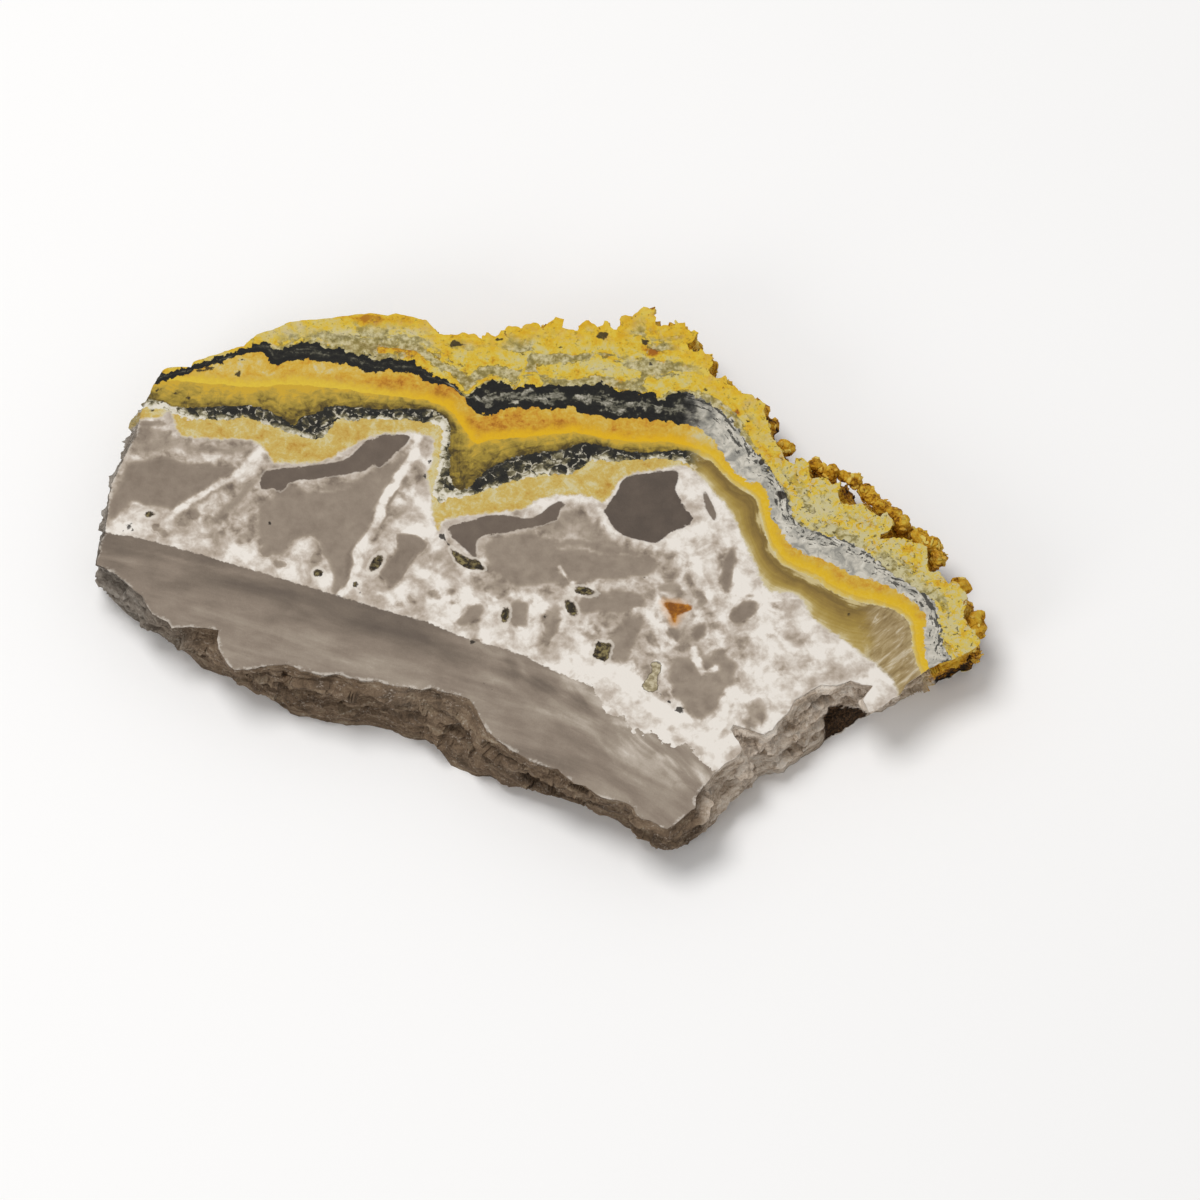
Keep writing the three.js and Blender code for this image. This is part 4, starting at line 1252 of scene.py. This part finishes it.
def grain_tree(grain_finish):
    """Scatters uneven grains over the crusted side and joins them to the slab."""
    tree = bpy.data.node_groups.new("crust_grains", "GeometryNodeTree")
    face = tree.interface
    face.new_socket("Geometry", in_out="INPUT", socket_type="NodeSocketGeometry")
    density = face.new_socket("Density", in_out="INPUT", socket_type="NodeSocketFloat")
    radius = face.new_socket("Radius", in_out="INPUT", socket_type="NodeSocketFloat")
    face.new_socket("Geometry", in_out="OUTPUT", socket_type="NodeSocketGeometry")
    nodes = tree.nodes
    link = tree.links.new
    entry = nodes.new("NodeGroupInput")
    leave = nodes.new("NodeGroupOutput")

    crusted = nodes.new("GeometryNodeInputNamedAttribute")
    crusted.data_type = "FLOAT"
    crusted.inputs["Name"].default_value = "crusted"
    amount = nodes.new("ShaderNodeMath")
    amount.operation = "MULTIPLY"
    link(crusted.outputs["Attribute"], amount.inputs[0])
    link(entry.outputs["Density"], amount.inputs[1])
    scatter = nodes.new("GeometryNodeDistributePointsOnFaces")
    scatter.inputs["Seed"].default_value = GRAIN_SEED
    link(entry.outputs["Geometry"], scatter.inputs["Mesh"])
    link(amount.outputs[0], scatter.inputs["Density"])

    ball = nodes.new("GeometryNodeMeshIcoSphere")
    ball.inputs["Subdivisions"].default_value = 1
    link(entry.outputs["Radius"], ball.inputs["Radius"])
    place = nodes.new("GeometryNodeInstanceOnPoints")
    link(scatter.outputs["Points"], place.inputs["Points"])
    link(ball.outputs["Mesh"], place.inputs["Instance"])
    link(scatter.outputs["Rotation"], place.inputs["Rotation"])
    sizes = nodes.new("FunctionNodeRandomValue")
    sizes.data_type = "FLOAT_VECTOR"
    sizes.inputs["Min"].default_value = GRAIN_LEAST
    sizes.inputs["Max"].default_value = GRAIN_MOST
    sizes.inputs["Seed"].default_value = GRAIN_SEED
    link(sizes.outputs["Value"], place.inputs["Scale"])
    real = nodes.new("GeometryNodeRealizeInstances")
    link(place.outputs["Instances"], real.inputs["Geometry"])
    finish = nodes.new("GeometryNodeSetMaterial")
    finish.inputs["Material"].default_value = grain_finish
    link(real.outputs["Geometry"], finish.inputs["Geometry"])

    lumps = nodes.new("ShaderNodeTexNoise")
    lumps.inputs["Scale"].default_value = LUMPS_PER_MM / MM
    middle = nodes.new("ShaderNodeVectorMath")
    middle.operation = "SUBTRACT"
    middle.inputs[1].default_value = (0.5, 0.5, 0.5)
    link(lumps.outputs["Color"], middle.inputs[0])
    size = nodes.new("ShaderNodeVectorMath")
    size.operation = "SCALE"
    size.inputs["Scale"].default_value = LUMP_SIZE * MM
    link(middle.outputs["Vector"], size.inputs[0])
    uneven = nodes.new("GeometryNodeSetPosition")
    link(finish.outputs["Geometry"], uneven.inputs["Geometry"])
    link(size.outputs["Vector"], uneven.inputs["Offset"])

    join = nodes.new("GeometryNodeJoinGeometry")
    link(uneven.outputs["Geometry"], join.inputs["Geometry"])
    link(entry.outputs["Geometry"], join.inputs["Geometry"])
    link(join.outputs["Geometry"], leave.inputs["Geometry"])
    return tree, {density.identifier: GRAIN_DENSITY / MM ** 2, radius.identifier: GRAIN_RADIUS * MM}


def mark_crust(data, thickness, grid):
    """Where grains may sit: on the broken side at the back and right, clear of both sawn faces."""
    places = corner_places(data)
    height = places[:, 2] / (thickness / MM)
    where = smooth_step(*CRUST_STARTS, grid.steps_across(places[:, 0])) * (places[:, 1] > CRUST_FRONT)
    level = smooth_step(0.08, 0.16, height) * smooth_step(0.97, 0.9, height)
    clumps = np.array([noise.noise(Vector(place) * 0.35) for place in places])
    spread = smooth_step(-0.15, 0.3, clumps)
    store_values(data, "crusted", where * level * spread * (corner_values(data, "broken") > 0.5))


def with_grains(slab, grain_finish):
    """The slab and its grains as one plain mesh."""
    tree, inputs = grain_tree(grain_finish)
    modifier = slab.modifiers.new("crust_grains", "NODES")
    modifier.node_group = tree
    for identifier, value in inputs.items():
        modifier[identifier] = value
    graph = bpy.context.evaluated_depsgraph_get()
    data = bpy.data.meshes.new_from_object(slab.evaluated_get(graph), depsgraph=graph)
    slab.modifiers.clear()
    slab.data = data


def build_slab(node, thickness, grid):
    """The one piece: the weathered slab with its pattern and its crust."""
    data = slab_mesh(node, thickness, grid)
    mark_crust(data, thickness, grid)
    paint_layers(data, thickness, grid)
    slab = bpy.data.objects.new("banded_slab", data)
    bpy.context.scene.collection.objects.link(slab)
    data.materials.append(jasper(thickness))
    with_grains(slab, crust_grain())
    return slab


# Floor, light and camera

def build_floor():
    half = FLOOR_HALF * MM
    data = bpy.data.meshes.new("floor")
    corners = [(-half, -half, 0), (half, -half, 0), (half, half, 0), (-half, half, 0)]
    data.from_pydata(corners, [], [(0, 1, 2, 3)])
    floor = bpy.data.objects.new("floor", data)
    bpy.context.scene.collection.objects.link(floor)
    f = Finish("pale_floor")
    f.surface(linear("fbfaf9"), 0.9, f.noise(0.05, 2), 0.02, 0.1)
    data.materials.append(f.material)
    return floor


def soft_light(name, place, size, power):
    light = bpy.data.lights.new(name, "AREA")
    light.shape = "DISK"
    light.size = size * MM
    light.energy = power
    lamp = bpy.data.objects.new(name, light)
    lamp.location = Vector(place) * MM
    lamp.rotation_euler = (-lamp.location).to_track_quat("-Z", "Y").to_euler()
    lamp.visible_camera = False
    bpy.context.scene.collection.objects.link(lamp)


def light_scene():
    world = bpy.data.worlds.new("studio")
    world.use_nodes = True
    sky = world.node_tree.nodes["Background"]
    sky.inputs["Color"].default_value = (1, 1, 1, 1)
    sky.inputs["Strength"].default_value = SKY_STRENGTH
    bpy.context.scene.world = world
    for light in LIGHTS:
        soft_light(*light)
    bpy.context.scene.view_settings.view_transform = "Standard"


def place_camera(grid, thickness):
    camera = bpy.data.cameras.new("camera")
    camera.lens = CAMERA_LENS
    camera.sensor_width = SENSOR
    camera.clip_end = CAMERA_REACH * MM
    x, y = grid.points(CAMERA_AIM)
    aim = Vector((x * MM, y * MM, thickness))
    elevation = math.radians(CAMERA_ELEVATION)
    viewer = bpy.data.objects.new("camera", camera)
    viewer.location = aim + Vector((0, -math.cos(elevation), math.sin(elevation))) * CAMERA_AWAY * MM
    viewer.rotation_euler = (aim - viewer.location).to_track_quat("-Z", "Y").to_euler()
    bpy.context.scene.collection.objects.link(viewer)
    bpy.context.scene.camera = viewer


noise.seed_set(NOISE_SEED)
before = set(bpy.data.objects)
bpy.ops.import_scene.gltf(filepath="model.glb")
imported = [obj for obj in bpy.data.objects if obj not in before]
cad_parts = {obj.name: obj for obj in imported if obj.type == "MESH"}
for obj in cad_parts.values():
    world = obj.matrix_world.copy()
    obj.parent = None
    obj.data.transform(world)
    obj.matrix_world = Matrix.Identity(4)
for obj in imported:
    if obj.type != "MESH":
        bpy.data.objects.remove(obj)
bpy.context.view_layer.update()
low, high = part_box("jasper_slab")
face_grid = FaceGrid(low)
slab = build_slab(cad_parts["jasper_slab"], high.z, face_grid)
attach(slab, "root")
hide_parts("jasper_slab")
build_floor()
light_scene()
place_camera(face_grid, high.z)
